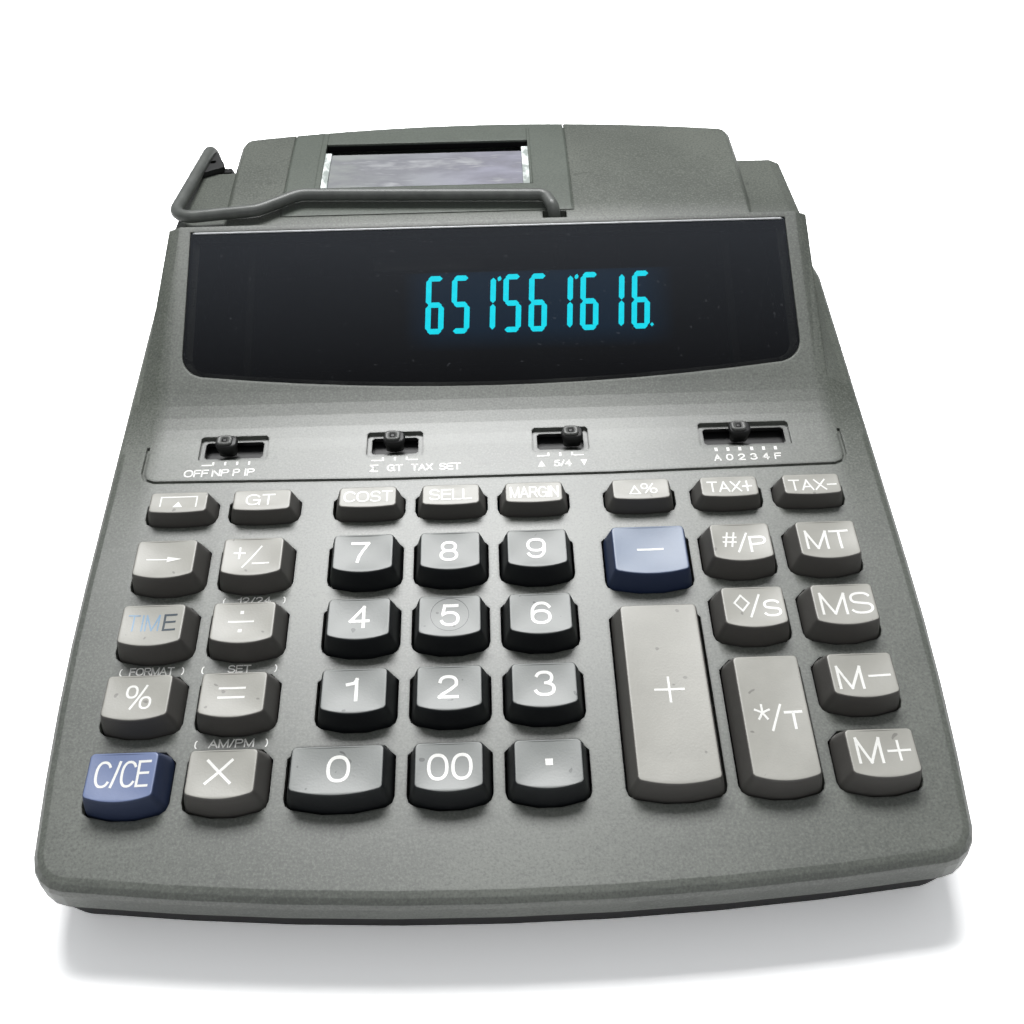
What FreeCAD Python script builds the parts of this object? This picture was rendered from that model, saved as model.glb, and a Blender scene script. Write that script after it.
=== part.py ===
"""Desktop printing calculator with a raised display, a printer hump and a folding paper roll bail.

Millimetres. X points right, Y to the rear, Z up. The origin is under the middle of the case, on the
surface that the rubber feet stand on. Each sub-part is written to its own file in parts/.
"""
import FreeCAD, Part
import math
import os

Vec = FreeCAD.Vector

# Case, seen from above
BODY_WIDTH = 190.0
BODY_DEPTH = 250.0
FRONT_DRAW = 4.0  # how far each side has drawn in at its front corner
FRONT_BOW = 5.8  # how far the front edge bulges beyond its corners
TAPER_LENGTH = 75.0  # the sides draw in over this much of the front
FRONT_CORNER_R = 8.0
REAR_CORNER_R = 12.0
RIM_R = 2.5  # rounding of the upper shell's rim
RIM_STEPS = 3
WALL = 2.2
SPLIT_Z = 12.5  # where the two halves of the case meet
FOOT_HEIGHT = 2.0  # how far the rubber feet stand below the floor plate
FOOT_R = 5.0
FOOT_RECESS = 0.6
FOOT_SIDE = 19.0  # from the sides of the case
FOOT_FRONT = 22.0  # from the front edge of the case
FOOT_REAR = 24.0  # from its rear edge
BASE_INSET = 3.4  # the lower case draws in towards the floor
BASE_STEP = 0.5  # step between the upper shell's rim and the lower case
BASE_WALL = 2.0

# Key panel
PANEL_Z = 21.0  # height of the panel at the front of the lowest key wells
KEY_SETBACK = 17.9  # from the front edge of the case to those wells
BEND_Z = 34.666  # height where the panel's and the display's planes would meet
BEND_TO_REAR = 128.3  # from there to the rear edge of the case
SWITCH_TO_BEND = 8.1  # from the middle of the switches to there, along the panel
GROOVE_TO_BEND = 19.6
GROOVE_GAP = 4.0  # between the function keys and the groove
KEY_MARGIN = 11.15  # between the outermost wells and the sides of the case
COLUMN_GAP = 2.3
GAP_AFTER_LEFT = 5.3  # extra space between the left keys and the digits
GAP_AFTER_DIGITS = 5.8
GAP_AFTER_ADD = 1.3
ROW_GAP = 2.8
FUNCTION_ROW_GAP = 5.3  # between the highest digit row and the function row
FUNCTION_WELL_DEPTH = 9.0
WIDE_EXTRA = 3.0  # of the two keys of the fifth column over a single well
ZERO_EXTRA = 4.8
SUBTRACT_EXTRA = 2.7
ADD_GAP = 4.0  # between the tall key and the one above it
WELL_CORNER_R = 2.4
FRONT_LEAN = 20.0  # angle that a key's bowed front has turned through at its corner
WIDE_LEAN = 16.0
FUNCTION_LEAN = 7.0
CORNER_STEPS = 2  # facets in each round front corner of keys and wells
REAR_STEPS = 1
FRONT_STEPS = 3  # facets in a bowed front
PLAN_STEPS = 4  # facets in each corner of the case seen from above
BORE_STEPS = 6  # facets round a screw
ROUND_STEPS = 12  # facets round a shaft or a screw head
KEY_GAP = 0.4  # between a key's skirt and its well
KEY_HEIGHT = 5.7
FUNCTION_KEY_HEIGHT = 4.3
KEY_SIDE_DRAW = 1.8  # how far a key's top is drawn in at each side
KEY_END_DRAW = 1.7
KEY_TOP_CORNER_R = 1.0
KEY_BEVEL = 0.45
KEY_WALL = 1.3
KEY_SKIRT = 1.5  # how far the skirt reaches below the panel's face
KEY_TRAVEL = 2.5
PLUNGER_SIDE = 2.4
PLUNGER_GAP = 0.3  # between a plunger and the contact mat

# Contact mat and circuit board under the keys, measured square to the panel
MAT_DEPTH = 8.5  # from the panel's face to the mat's sheet
MAT_THICKNESS = 1.0
MAT_MARGIN = 3.0  # of the mat and the board beyond the wells
COLLAR_BASE = 7.6
COLLAR_TOP = 5.6
COLLAR_GAP = 0.4  # between a collar's bore and the plunger in it
BOARD_THICKNESS = 1.6
BOARD_SIDE = 9.0  # between the board and the sides of the case
BOARD_BEHIND = 7.4  # of the board behind the middle of the switches
POST_SIDE = 4.0

# Raised switch panel and display
RAISED_SIDE = 8.0  # between its sides and those of the case
RAISED_SHOULDER = 3.0  # width of the softened edge on each side
RAISED_SHARE = 0.945  # height of that edge's outer line
SIDE_FOOT = 2.9  # flat rim left outside the raised sides
GROOVE_WIDTH = 0.8
GROOVE_DEPTH = 0.6
GROOVE_LEAN = 1.5  # angle that its bowed front has turned through at its corners
GROOVE_CORNER_R = 3.2
GROOVE_RUN = 12.5  # length of the groove's two side branches
BEND_R = 50.0
BEND_STEPS = 5
LENS_ANGLE = 27.5
CREST_TO_REAR = 76.6
CREST_WIDTH = 1.6
LENS_SIDE = 6.2  # between the lens and the sides of the raised part
LENS_LENGTH = 47.4  # from the middle of the bowed lower edge to the top edge
LENS_BOW = 5.2
LENS_CORNER_R = 6.5
LENS_TO_REAR = 120.2
LENS_THICKNESS = 2.0
LENS_DROP = 0.2  # of the lens under the frame's face
LENS_GAP = 0.15
LENS_LEDGE = 2.0
LEDGE_THICKNESS = 1.6
TUBE_WIDTH = 128.0
TUBE_HEIGHT = 25.0
TUBE_THICKNESS = 6.0
TUBE_ANGLE = 40.0
TUBE_DEPTH = 9.5  # from the display's plane to the middle of the tube
BRACKET_THICKNESS = 2.0
BRACKET_DEPTH = 17.0  # their depth under the display's plane
BRACKET_DRAW = 8.0  # how far their lower ends draw in from the lens's ends

# Deck, shoulders and printer hump behind the display
DECK_Z = 59.0
SHOULDER_TO_REAR = 42.0
SHOULDER_DROP_TO_REAR = 26.0
REAR_Z = 31.0  # height of the rear shelf at the rear edge
HUMP_SIDE = 21.5  # between its sides and those of the case
HUMP_FRONT_Z = 59.5
HUMP_SLOPE = 8.0  # of the hump's top where it starts
HUMP_RUN = 46.0  # over which the slope dies out
HUMP_TO_REAR = 20.8  # from the middle of the hump's rear wall
HUMP_BOW = 7.0
HUMP_EDGE = 1.3
HUMP_CORNER_R = 4.0
HUMP_FOOT_Z = 20.0

# Printer cover, its window and the paper slots
COVER_LEFT = -57.4
COVER_WIDTH = 80.8
COVER_TO_REAR = 69.8  # from its front edge to the rear edge of the case
COVER_GAP = 0.4
COVER_WALL = 2.0
COVER_SKIRT_Z = 48.5  # lower edge of the cover's rear wall
RUNNER_WIDTH = 2.2  # of the runners that carry the cover
RUNNER_GAP = 0.3
RUNNER_THICKNESS = 1.6
WINDOW_LEFT = -49.3
WINDOW_WIDTH = 62.2
WINDOW_TO_REAR = 57.0
WINDOW_LENGTH = 26.4
WINDOW_DROP = 1.0  # the clear plate lies this far under the cover's face
WINDOW_THICKNESS = 1.8
EXIT_SLOT = 5.6
INLET_Z = 39.5
INLET_HEIGHT = 5.6

# Slide switches
SLOT_DEPTH = 7.7
SLOT_STEP = 1.2
SLOT_STEP_DEPTH = 0.8
SLOT_CORNER = 0.6
SWITCH_STEP = 2.95
SLOT_MARGIN = 4.1  # of a slot beyond its knob's outermost places
KNOB_WIDTH = 4.3
KNOB_DEPTH = 3.0
KNOB_RISE = 3.0
KNOB_FLARE = 0.4
KNOB_RIB = 1.2  # spacing of the notches across its top
KNOB_GAP = 0.3
SWITCH_BODY_MARGIN = 1.5
POWER_SIDE = 25.05  # from the left side of the case to the switch's first place
MODE_X = -28.05
ROUNDING_X = 13.6
DECIMAL_SIDE = 39.3  # from the right side

# Paper roll bail
BAIL_R = 1.7
BAIL_SIDES = 8
BAIL_STEPS = 3  # facets along each of its bends
BAIL_PIVOT_SIDE = 12.6  # from the left side of the case
BAIL_PIVOT_TO_REAR = 30.0
BAIL_PIVOT_Z = 48.0
BAIL_PIN_R = 1.6
BAIL_PIN_GAP = 0.06
BAIL_EYE_R = 3.8
BAIL_EYE_WIDTH = 4.2
BAIL_APEX = (-1.0, 2.0, 12.6)  # from the pivot
BAIL_CORNER = (-4.2, -41.4, 14.3)
BAIL_BEND_START = (18.9, -40.4, 14.7)
BAIL_BEND_END = (29.8, -33.6, 15.4)
BAIL_SPINDLE_END = (98.3, -36.6, 15.1)
BAIL_KNEE = (100.5, -43.0, 14.6)
BAIL_TIP = (100.8, -43.1, 10.7)
BAIL_APEX_R = 3.6
BAIL_CORNER_R = 5.5
BAIL_STEP_R = 7.0
BAIL_HOOK_R = 2.6
BAIL_KNEE_R = 2.2
LUG_GAP = 0.3
LUG_THICKNESS = 3.0
LUG_R = 4.4
LUG_DEPTH = 6.0
LUG_STOP_HEIGHT = 9.2  # of the stop in front of the bail, above the pivot
LUG_STOP_SETBACK = 7.6  # of the stop's front face, ahead of the pivot
POCKET_WIDTH = 6.6  # pocket for the free end of the bail
POCKET_DEPTH = 4.5
POCKET_Z = 57.2

# Printing mechanism
FRAME_LEFT = -56.0
FRAME_WIDTH = 78.0
FRAME_WALL = 1.6
FRAME_TO_REAR = 67.5  # from its front edge
FRAME_DEPTH = 37.5
FRAME_Z = 24.0
FRAME_HEIGHT = 30.0
PLATEN_R = 6.5
PLATEN_LENGTH = 62.0
PLATEN_TO_REAR = 45.0
PLATEN_Z = 47.0
SHAFT_R = 2.0
SHAFT_GAP = 0.06
GEAR_MODULE = 1.0
PLATEN_TEETH = 18
PINION_TEETH = 9
GEAR_WIDTH = 3.0
GEAR_GAP = 1.2  # between the frame and the gears
MESH_GAP = 0.35
MOTOR_R = 7.0
MOTOR_LENGTH = 24.0
MOTOR_ANGLE = -52.0  # direction of the motor from the platen's axis
CARRIAGE_WIDTH = 14.0
CARRIAGE_DEPTH = 10.0
CARRIAGE_HEIGHT = 15.0
CARRIAGE_REST = 5.0  # from the frame's left wall
CARRIAGE_Z = 32.0
PRINT_WHEEL_R = 5.0
PRINT_WHEEL_WIDTH = 8.0
PRINT_GAP = 0.6  # between the print wheel and the platen
RAIL_R = 1.5
RAIL_SPACING = 8.0

# Power supply and cord inlet
CORE_WIDTH = 44.0
CORE_DEPTH = 18.0
CORE_HEIGHT = 32.0
COIL_WIDTH = 28.0
COIL_DEPTH = 34.0
COIL_HEIGHT = 22.0
TRANSFORMER_SIDE = 33.0  # from the right side of the case to its middle
TRANSFORMER_TO_REAR = 53.0
BUSHING_SIDE = 29.0
BUSHING_Z = 21.5
BUSHING_R = 5.0
FLANGE_R = 6.4
FLANGE_THICKNESS = 1.0
CORD_WIDTH = 5.8
CORD_THICKNESS = 3.2

# Screws
SCREW_R = 1.4
SCREW_HEAD_R = 2.8
SCREW_HEAD_HEIGHT = 1.8
SCREW_HEAD_GAP = 0.3
SCREW_FLOOR = 2.0  # material under the head
SCREW_LENGTH = 12.0
SCREW_FRONT_SIDE = 33.0  # from the sides of the case
SCREW_FRONT = 12.0  # from its front edge
SCREW_REAR_SIDE = 13.0
SCREW_REAR = 12.0  # from its rear edge
BOSS_R = 3.6



def tan(degrees):
    return math.tan(math.radians(degrees))


def cos(degrees):
    return math.cos(math.radians(degrees))


def sin(degrees):
    return math.sin(math.radians(degrees))


# What follows from the sizes above
FRONT_Y = -BODY_DEPTH / 2
REAR_Y = BODY_DEPTH / 2
SIDE_X = BODY_WIDTH / 2
TALL = 2 * DECK_Z  # taller than the whole object
FLOOR_Z = FOOT_HEIGHT
PANEL_Y = FRONT_Y + KEY_SETBACK
BEND_Y = REAR_Y - BEND_TO_REAR
CREST_Y = REAR_Y - CREST_TO_REAR
HUMP_Y = REAR_Y - HUMP_TO_REAR
PANEL_ANGLE = math.degrees(math.atan2(BEND_Z - PANEL_Z, BEND_Y - PANEL_Y))
BEND_V = (BEND_Y - PANEL_Y) / cos(PANEL_ANGLE)  # along the key panel
GROOVE_V = BEND_V - GROOVE_TO_BEND
SWITCH_V = BEND_V - SWITCH_TO_BEND
ROW_PITCH = (GROOVE_V - GROOVE_GAP - FUNCTION_WELL_DEPTH - FUNCTION_ROW_GAP + ROW_GAP) / 4
WELL_DEPTH = ROW_PITCH - ROW_GAP
COLUMNS = 8
SPACES = (COLUMNS - 1) * COLUMN_GAP + GAP_AFTER_LEFT + GAP_AFTER_DIGITS + GAP_AFTER_ADD
WELL_WIDTH = (BODY_WIDTH - 2 * KEY_MARGIN - SPACES) / COLUMNS
RAISED_WIDTH = BODY_WIDTH - 2 * RAISED_SIDE
LENS_WIDTH = RAISED_WIDTH - 2 * LENS_SIDE
HUMP_WIDTH = BODY_WIDTH - 2 * HUMP_SIDE
COLLAR_HEIGHT = KEY_TRAVEL + PLUNGER_GAP
PIVOT = Vec(BAIL_PIVOT_SIDE - SIDE_X, REAR_Y - BAIL_PIVOT_TO_REAR, BAIL_PIVOT_Z)
BUSHING_X = SIDE_X - BUSHING_SIDE


def line(a, b):
    return Part.makeLine(a, b)


def arc(a, middle, b):
    return Part.Arc(a, middle, b).toShape()


def box(x0, x1, y0, y1, z0, z1):
    return Part.makeBox(x1 - x0, y1 - y0, z1 - z0, Vec(x0, y0, z0))


def rod(radius, start, end):
    return Part.makeCylinder(radius, (end - start).Length, start, end - start)


def polygon_prism(points, direction):
    return Part.Face(Part.makePolygon(points + points[:1])).extrude(direction)


def side_prism(points, x0, x1):
    """A prism along X over an outline given as (y, z) points."""
    return polygon_prism([Vec(x0, y, z) for y, z in points], Vec(x1 - x0, 0, 0))


def fillet_where(shape, radius, wanted):
    """Rounds the edges for which wanted(edge) holds."""
    return shape.makeFillet(radius, [edge for edge in shape.Edges if wanted(edge)])


def moved(shape, placement):
    placed = shape.copy()
    placed.Placement = placement.multiply(placed.Placement)
    return placed


def place(y, z, angle):
    """Axes whose first is X and whose second climbs to the rear at the angle."""
    return FreeCAD.Placement(Vec(0, y, z), FreeCAD.Rotation(Vec(1, 0, 0), angle))


def bowed_outline(x, v, width, depth, radius, lean, w=0.0):
    """Corners of a rounded rectangle whose front edge bulges forward; v is its foremost point.

    The front is an arc that leans by the given angle where the corner arcs take over. Outlines with the
    same lean have parallel edges, whatever their size, so the walls between two of them are flat.
    """
    half = width / 2
    side = half - radius
    front_r = (half - radius * (1 - sin(lean))) / sin(lean)
    low = v + front_r - (front_r - radius) * cos(lean)
    high = v + depth - radius
    arcs = [(0.0, v + front_r, front_r, -lean, lean, FRONT_STEPS)]
    arcs.append((side, low, radius, lean, 90, CORNER_STEPS))
    arcs.append((side, high, radius, 90, 180, REAR_STEPS))
    arcs.append((-side, high, radius, 180, 270, REAR_STEPS))
    arcs.append((-side, low, radius, 270, 360 - lean, CORNER_STEPS))
    points = []
    for centre_x, centre_v, r, start, end, steps in arcs:
        for i in range(steps + 1):
            turn = start + (end - start) * i / steps
            points.append(Vec(x + centre_x + r * sin(turn), centre_v - r * cos(turn), w))
    return without_repeats(points)


def without_repeats(points):
    kept = [points[0]]
    for point in points[1:]:
        if (point - kept[-1]).Length > 1e-6:
            kept.append(point)
    if (kept[0] - kept[-1]).Length < 1e-6:
        kept.pop()
    return kept


def faceted(sections):
    """The solid between stacked outlines that have the same number of corners."""
    faces = [Part.Face(Part.makePolygon(outline + outline[:1])) for outline in (sections[0], sections[-1])]
    for below, above in zip(sections, sections[1:]):
        for i in range(len(below)):
            j = (i + 1) % len(below)
            corners = [below[i], below[j], above[j], above[i]]
            normal = (corners[2] - corners[0]).cross(corners[3] - corners[1])
            if abs((corners[1] - corners[0]).dot(normal)) < 1e-6 * normal.Length:
                faces.append(Part.Face(Part.makePolygon(corners + corners[:1])))
                continue
            faces.append(Part.Face(Part.makePolygon([corners[0], corners[1], corners[2], corners[0]])))
            faces.append(Part.Face(Part.makePolygon([corners[0], corners[2], corners[3], corners[0]])))
    solid = Part.Solid(Part.Shell(faces))
    if solid.Volume < 0:
        solid.reverse()
    return solid


def spindle(radius, start, end, steps=ROUND_STEPS):
    """A round bar along X, its corners on the radius."""
    ring = []
    for i in range(steps):
        turn = 360.0 * i / steps
        ring.append(start + Vec(0, radius * cos(turn), radius * sin(turn)))
    return polygon_prism(ring, end - start)


def spindle_bore(radius, start, end, steps=ROUND_STEPS):
    """A bore along X that clears the radius."""
    return spindle(radius / cos(180.0 / steps), start, end, steps)


def square(x, v, side, w):
    half = side / 2
    return [Vec(x - half, v - half, w), Vec(x + half, v - half, w), Vec(x + half, v + half, w), Vec(x - half, v + half, w)]


def bar(sides, radius, start, end):
    """An upright bar of many sides, flat side to flat side 2 * radius."""
    reach = radius / cos(180.0 / sides)
    ring = []
    for i in range(sides):
        turn = 360.0 * (i + 0.5) / sides
        ring.append(start + Vec(reach * cos(turn), reach * sin(turn), 0))
    return polygon_prism(ring, end - start)


def upright(outline, height):
    """The prism over an outline, along its own third axis."""
    return Part.Face(outline).extrude(Vec(0, 0, height))


# The case's form. Each function takes an inset, so the same form gives the outer and the inner faces.


def plan_arcs():
    """The arcs of the outline seen from above, anticlockwise from the front: middle, radius and angles."""
    half = BODY_WIDTH / 2
    draw = FRONT_DRAW
    front_half = half - draw
    taper_y = FRONT_Y + TAPER_LENGTH
    run = TAPER_LENGTH - FRONT_BOW
    front_r = (front_half ** 2 + FRONT_BOW ** 2) / (2 * FRONT_BOW)
    side_r = (run * run + draw * draw) / (2 * draw)
    front = Vec(0, FRONT_Y + front_r, 0)
    side = Vec(half - side_r, taper_y, 0)
    corner = meeting(front, front_r - FRONT_CORNER_R, side, side_r - FRONT_CORNER_R)
    front_turn = heading(front, corner)
    side_turn = heading(side, corner)
    rear = REAR_Y - REAR_CORNER_R
    rear_x = half - REAR_CORNER_R
    right = [
        (corner, FRONT_CORNER_R, front_turn, side_turn, PLAN_STEPS),
        (side, side_r, side_turn, 360.0, 4),
        (Vec(rear_x, rear, 0), REAR_CORNER_R, 360.0, 450.0, PLAN_STEPS),
    ]
    left = []
    for centre, radius, start, end, steps in reversed(right):
        left.append((Vec(-centre.x, centre.y, 0), radius, 900.0 - end, 900.0 - start, steps))
    return [(front, front_r, 540.0 - front_turn, front_turn, 2 * PLAN_STEPS)] + right + left


def meeting(a, a_r, b, b_r):
    """The lower right point where two circles cross."""
    apart = (b - a).Length
    along = (a_r ** 2 - b_r ** 2 + apart ** 2) / (2 * apart)
    off = math.sqrt(a_r ** 2 - along ** 2)
    way = (b - a) * (1 / apart)
    found = [a + way * along + Vec(-way.y, way.x, 0) * (off * sign) for sign in (1, -1)]
    return max(found, key=lambda point: point.x - point.y)


def heading(centre, point):
    """Direction from a centre to a point, between 180 and 540 degrees."""
    turn = math.degrees(math.atan2(point.y - centre.y, point.x - centre.x))
    return turn + 360.0


def plan_points(inset, z):
    """The case's outline at one height. Outlines of different insets have parallel edges."""
    points = []
    for centre, radius, start, end, steps in plan_arcs():
        r = radius - inset
        for i in range(steps + 1):
            turn = start + (end - start) * i / steps
            points.append(centre + Vec(r * cos(turn), r * sin(turn), z))
    return without_repeats(points)


def plan_prism(inset):
    """The case seen from above, as a tall upright prism."""
    return polygon_prism(plan_points(inset, 0.0), Vec(0, 0, TALL))


def panel_height(y, inset=0.0):
    """Height of the key panel's plane at y, taken down by the inset."""
    return PANEL_Z + (y - PANEL_Y) * tan(PANEL_ANGLE) - inset / cos(PANEL_ANGLE)


def lens_height(y, inset=0.0):
    """Height of the display's plane at y, taken down by the inset."""
    return BEND_Z + (y - BEND_Y) * tan(LENS_ANGLE) - inset / cos(LENS_ANGLE)


def shelf_height(y, inset=0.0):
    """Height of the plane that falls from the crest to the rear edge."""
    share = (y - CREST_Y) / (REAR_Y - CREST_Y)
    return panel_height(CREST_Y) + share * (REAR_Z - panel_height(CREST_Y)) - inset


def low_height(y, inset=0.0):
    """Height of the case without its raised parts: the panel's plane, then the falling shelf."""
    return min(panel_height(y, inset), shelf_height(y, inset))


def under_plane(height, inset):
    """The case under one sloping plane; outside, its rim is rounded in a few facets."""
    sections = [plan_points(inset, SPLIT_Z)]
    radius = RIM_R if inset == 0 else 0.0
    steps = RIM_STEPS if inset == 0 else 0
    for i in range(steps + 1):
        turn = 90.0 * i / RIM_STEPS
        draw = inset + radius * (1 - cos(turn))
        drop = radius * (1 - sin(turn))
        sections.append([Vec(p.x, p.y, height(p.y, inset) - drop) for p in plan_points(draw, 0.0)])
    return faceted(sections)


def low_form(inset):
    """The case without its raised parts."""
    return under_plane(panel_height, inset).common(under_plane(shelf_height, inset))


def raised_profile(x, inset, share):
    """Side view of the raised part at one x; share is how much of its height above the low form it keeps."""
    groove_y = PANEL_Y + GROOVE_V * cos(PANEL_ANGLE)
    slope = tan(LENS_ANGLE) - tan(PANEL_ANGLE)
    bend_y = BEND_Y + inset * (1 / cos(LENS_ANGLE) - 1 / cos(PANEL_ANGLE)) / slope
    radius = BEND_R + inset
    reach = radius * tan((LENS_ANGLE - PANEL_ANGLE) / 2)
    centre_y = bend_y - reach * cos(PANEL_ANGLE) - radius * sin(PANEL_ANGLE)
    centre_z = panel_height(bend_y, inset) - reach * sin(PANEL_ANGLE) + radius * cos(PANEL_ANGLE)
    drop_y = REAR_Y - SHOULDER_DROP_TO_REAR - inset
    full = [(groove_y, panel_height(groove_y, inset))]
    for i in range(BEND_STEPS + 1):
        turn = PANEL_ANGLE + (LENS_ANGLE - PANEL_ANGLE) * i / BEND_STEPS
        full.append((centre_y + radius * sin(turn), centre_z - radius * cos(turn)))
    full += [
        (CREST_Y - inset, lens_height(CREST_Y - inset, inset)),
        (CREST_Y + CREST_WIDTH - inset, DECK_Z - inset),
        (REAR_Y - SHOULDER_TO_REAR - inset, DECK_Z - inset),
        (drop_y, low_height(drop_y, inset)),
    ]
    outline = []
    for y, z in full:
        low = low_height(y, inset)
        outline.append(Vec(x, y, low + share * (z - low)))
    bottom = SPLIT_Z + 2.0
    return outline + [Vec(x, outline[-1].y, bottom), Vec(x, outline[0].y, bottom)]


def raised_form(inset):
    """The raised switch panel, display frame and shoulders, with sides that lean out to the rim."""
    edge = RAISED_WIDTH / 2 - inset
    inner = edge - RAISED_SHOULDER
    foot = BODY_WIDTH / 2 - SIDE_FOOT - inset
    rows = [(-foot, 0.0), (-edge, RAISED_SHARE), (-inner, 1.0), (inner, 1.0), (edge, RAISED_SHARE), (foot, 0.0)]
    if inset > 0:
        rows = [rows[0], rows[2], rows[3], rows[5]]
    return faceted([raised_profile(x, inset, share) for x, share in rows])


def hump_outline(inset, z):
    """The hump seen from above, with its bowed rear wall."""
    half = HUMP_WIDTH / 2 - inset
    rear = HUMP_Y - inset
    front = CREST_Y + CREST_WIDTH - 0.5
    edges = [
        arc(Vec(half, rear - HUMP_BOW, z), Vec(0, rear, z), Vec(-half, rear - HUMP_BOW, z)),
        line(Vec(-half, rear - HUMP_BOW, z), Vec(-half, front, z)),
        line(Vec(-half, front, z), Vec(half, front, z)),
        line(Vec(half, front, z), Vec(half, rear - HUMP_BOW, z)),
    ]
    return Part.Wire(edges)


def hump_form(inset):
    """The printer hump. Its top is an arc that rises from the crest and dies out level."""
    start = CREST_Y + CREST_WIDTH - 0.5
    radius = HUMP_RUN / sin(HUMP_SLOPE)
    half_run = radius * (sin(HUMP_SLOPE) - sin(HUMP_SLOPE / 2))
    half_rise = radius * (cos(HUMP_SLOPE / 2) - cos(HUMP_SLOPE))
    top = HUMP_FRONT_Z - inset
    full_rise = radius * (1 - cos(HUMP_SLOPE))
    end = HUMP_Y + 20
    x = -BODY_WIDTH / 2
    a = Vec(x, start, top)
    b = Vec(x, start + half_run, top + half_rise)
    c = Vec(x, start + HUMP_RUN, top + full_rise)
    d = Vec(x, end, c.z)
    e = Vec(x, end, HUMP_FOOT_Z)
    f = Vec(x, start, HUMP_FOOT_Z)
    outline = Part.Wire([arc(a, b, c), line(c, d), line(d, e), line(e, f), line(f, a)])
    side_view = Part.Face(outline).extrude(Vec(BODY_WIDTH, 0, 0))
    corner_y = HUMP_Y - inset - HUMP_BOW

    def at_rear_corner(edge):
        ends = [vertex.Point for vertex in edge.Vertexes]
        return abs(ends[0].z - ends[-1].z) > 1 and abs(ends[0].y - corner_y) < 0.01

    plan = upright(hump_outline(inset, HUMP_FOOT_Z - 5), TALL)
    hump = side_view.common(fillet_where(plan, HUMP_CORNER_R - inset, at_rear_corner))
    if inset > 0:
        return hump

    def on_top(edge):
        if len(edge.Vertexes) != 2:
            return False
        ends = [vertex.Point for vertex in edge.Vertexes]
        if min(p.z for p in ends) < top - 1:
            return False
        on_side = all(abs(abs(p.x) - HUMP_WIDTH / 2) < 0.01 for p in ends)
        at_rear = min(p.y for p in ends) > start + HUMP_RUN
        return on_side or at_rear

    return hump.makeChamfer(HUMP_EDGE, [edge for edge in hump.Edges if on_top(edge)])


def case_form(inset):
    """Everything that the upper shell's face bounds, down to the split."""
    return low_form(inset).fuse([raised_form(inset), hump_form(inset)]).common(plan_prism(inset))


# Keys


def column_x(index):
    """Middle of a key column, counted from the left."""
    x = KEY_MARGIN - SIDE_X + WELL_WIDTH / 2 + index * (WELL_WIDTH + COLUMN_GAP)
    if index >= 2:
        x += GAP_AFTER_LEFT
    if index >= 5:
        x += GAP_AFTER_DIGITS
    if index >= 6:
        x += GAP_AFTER_ADD
    return x


def row_v(index):
    """Front of a key row along the panel, counted from the front; the fifth is the function row."""
    if index == 4:
        return row_v(3) + WELL_DEPTH + FUNCTION_ROW_GAP
    return index * ROW_PITCH


class Key:
    """One key and its well: the middle and the front of the well, its size and the key's height."""

    def __init__(self, name, column, row, width=WELL_WIDTH, depth=WELL_DEPTH, lean=FRONT_LEAN, height=KEY_HEIGHT):
        self.name = name
        self.x = column_x(column)
        self.v = row_v(row)
        self.width = width
        self.depth = depth
        self.lean = lean
        self.height = height

    def well(self):
        """The opening in the panel, as a prism through it."""
        outline = bowed_outline(self.x, self.v, self.width, self.depth, WELL_CORNER_R, self.lean, -2 * WALL)
        return polygon_prism(outline, Vec(0, 0, 4 * WALL))

    def outline(self, side, end, radius, w):
        """The key's outline where its sides have drawn in by side, its front and rear by end."""
        width = self.width - 2 * side
        return bowed_outline(self.x, self.v + end, width, self.depth - 2 * end, radius, self.lean, w)

    def front_corner(self):
        """How far the front's corners lie behind its foremost point."""
        return self.outline(0, 0, WELL_CORNER_R, 0)[FRONT_STEPS].y - self.v

    def middle_v(self):
        return self.v + (self.front_corner() + self.depth) / 2

    def solid(self):
        side = KEY_GAP + KEY_SIDE_DRAW
        end = KEY_GAP + KEY_END_DRAW
        foot = self.outline(KEY_GAP, KEY_GAP, WELL_CORNER_R - KEY_GAP, -KEY_SKIRT)
        rim = self.outline(side, end, KEY_TOP_CORNER_R, self.height - KEY_BEVEL)
        top = self.outline(side + KEY_BEVEL, end + KEY_BEVEL, KEY_TOP_CORNER_R - KEY_BEVEL, self.height)
        tip = -MAT_DEPTH + COLLAR_HEIGHT + PLUNGER_GAP
        half = PLUNGER_SIDE / 2
        v = self.middle_v()
        stem = box(self.x - half, self.x + half, v - half, v + half, tip, self.height - KEY_WALL / 2)
        return faceted([foot, rim, top]).cut(self.hollow()).fuse(stem)

    def hollow(self):
        """The room inside the key's walls, open below."""
        sections = []
        for side, end, w in ((0.0, 0.0, -KEY_SKIRT), (KEY_SIDE_DRAW, KEY_END_DRAW, self.height - KEY_WALL)):
            x0 = self.x - self.width / 2 + side + KEY_GAP + KEY_WALL
            x1 = 2 * self.x - x0
            v0 = self.v + self.front_corner() + end + KEY_GAP + KEY_WALL
            v1 = self.v + self.depth - end - KEY_GAP - KEY_WALL
            sections.append([Vec(x0, v0, w), Vec(x1, v0, w), Vec(x1, v1, w), Vec(x0, v1, w)])
        return faceted(sections)


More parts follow.
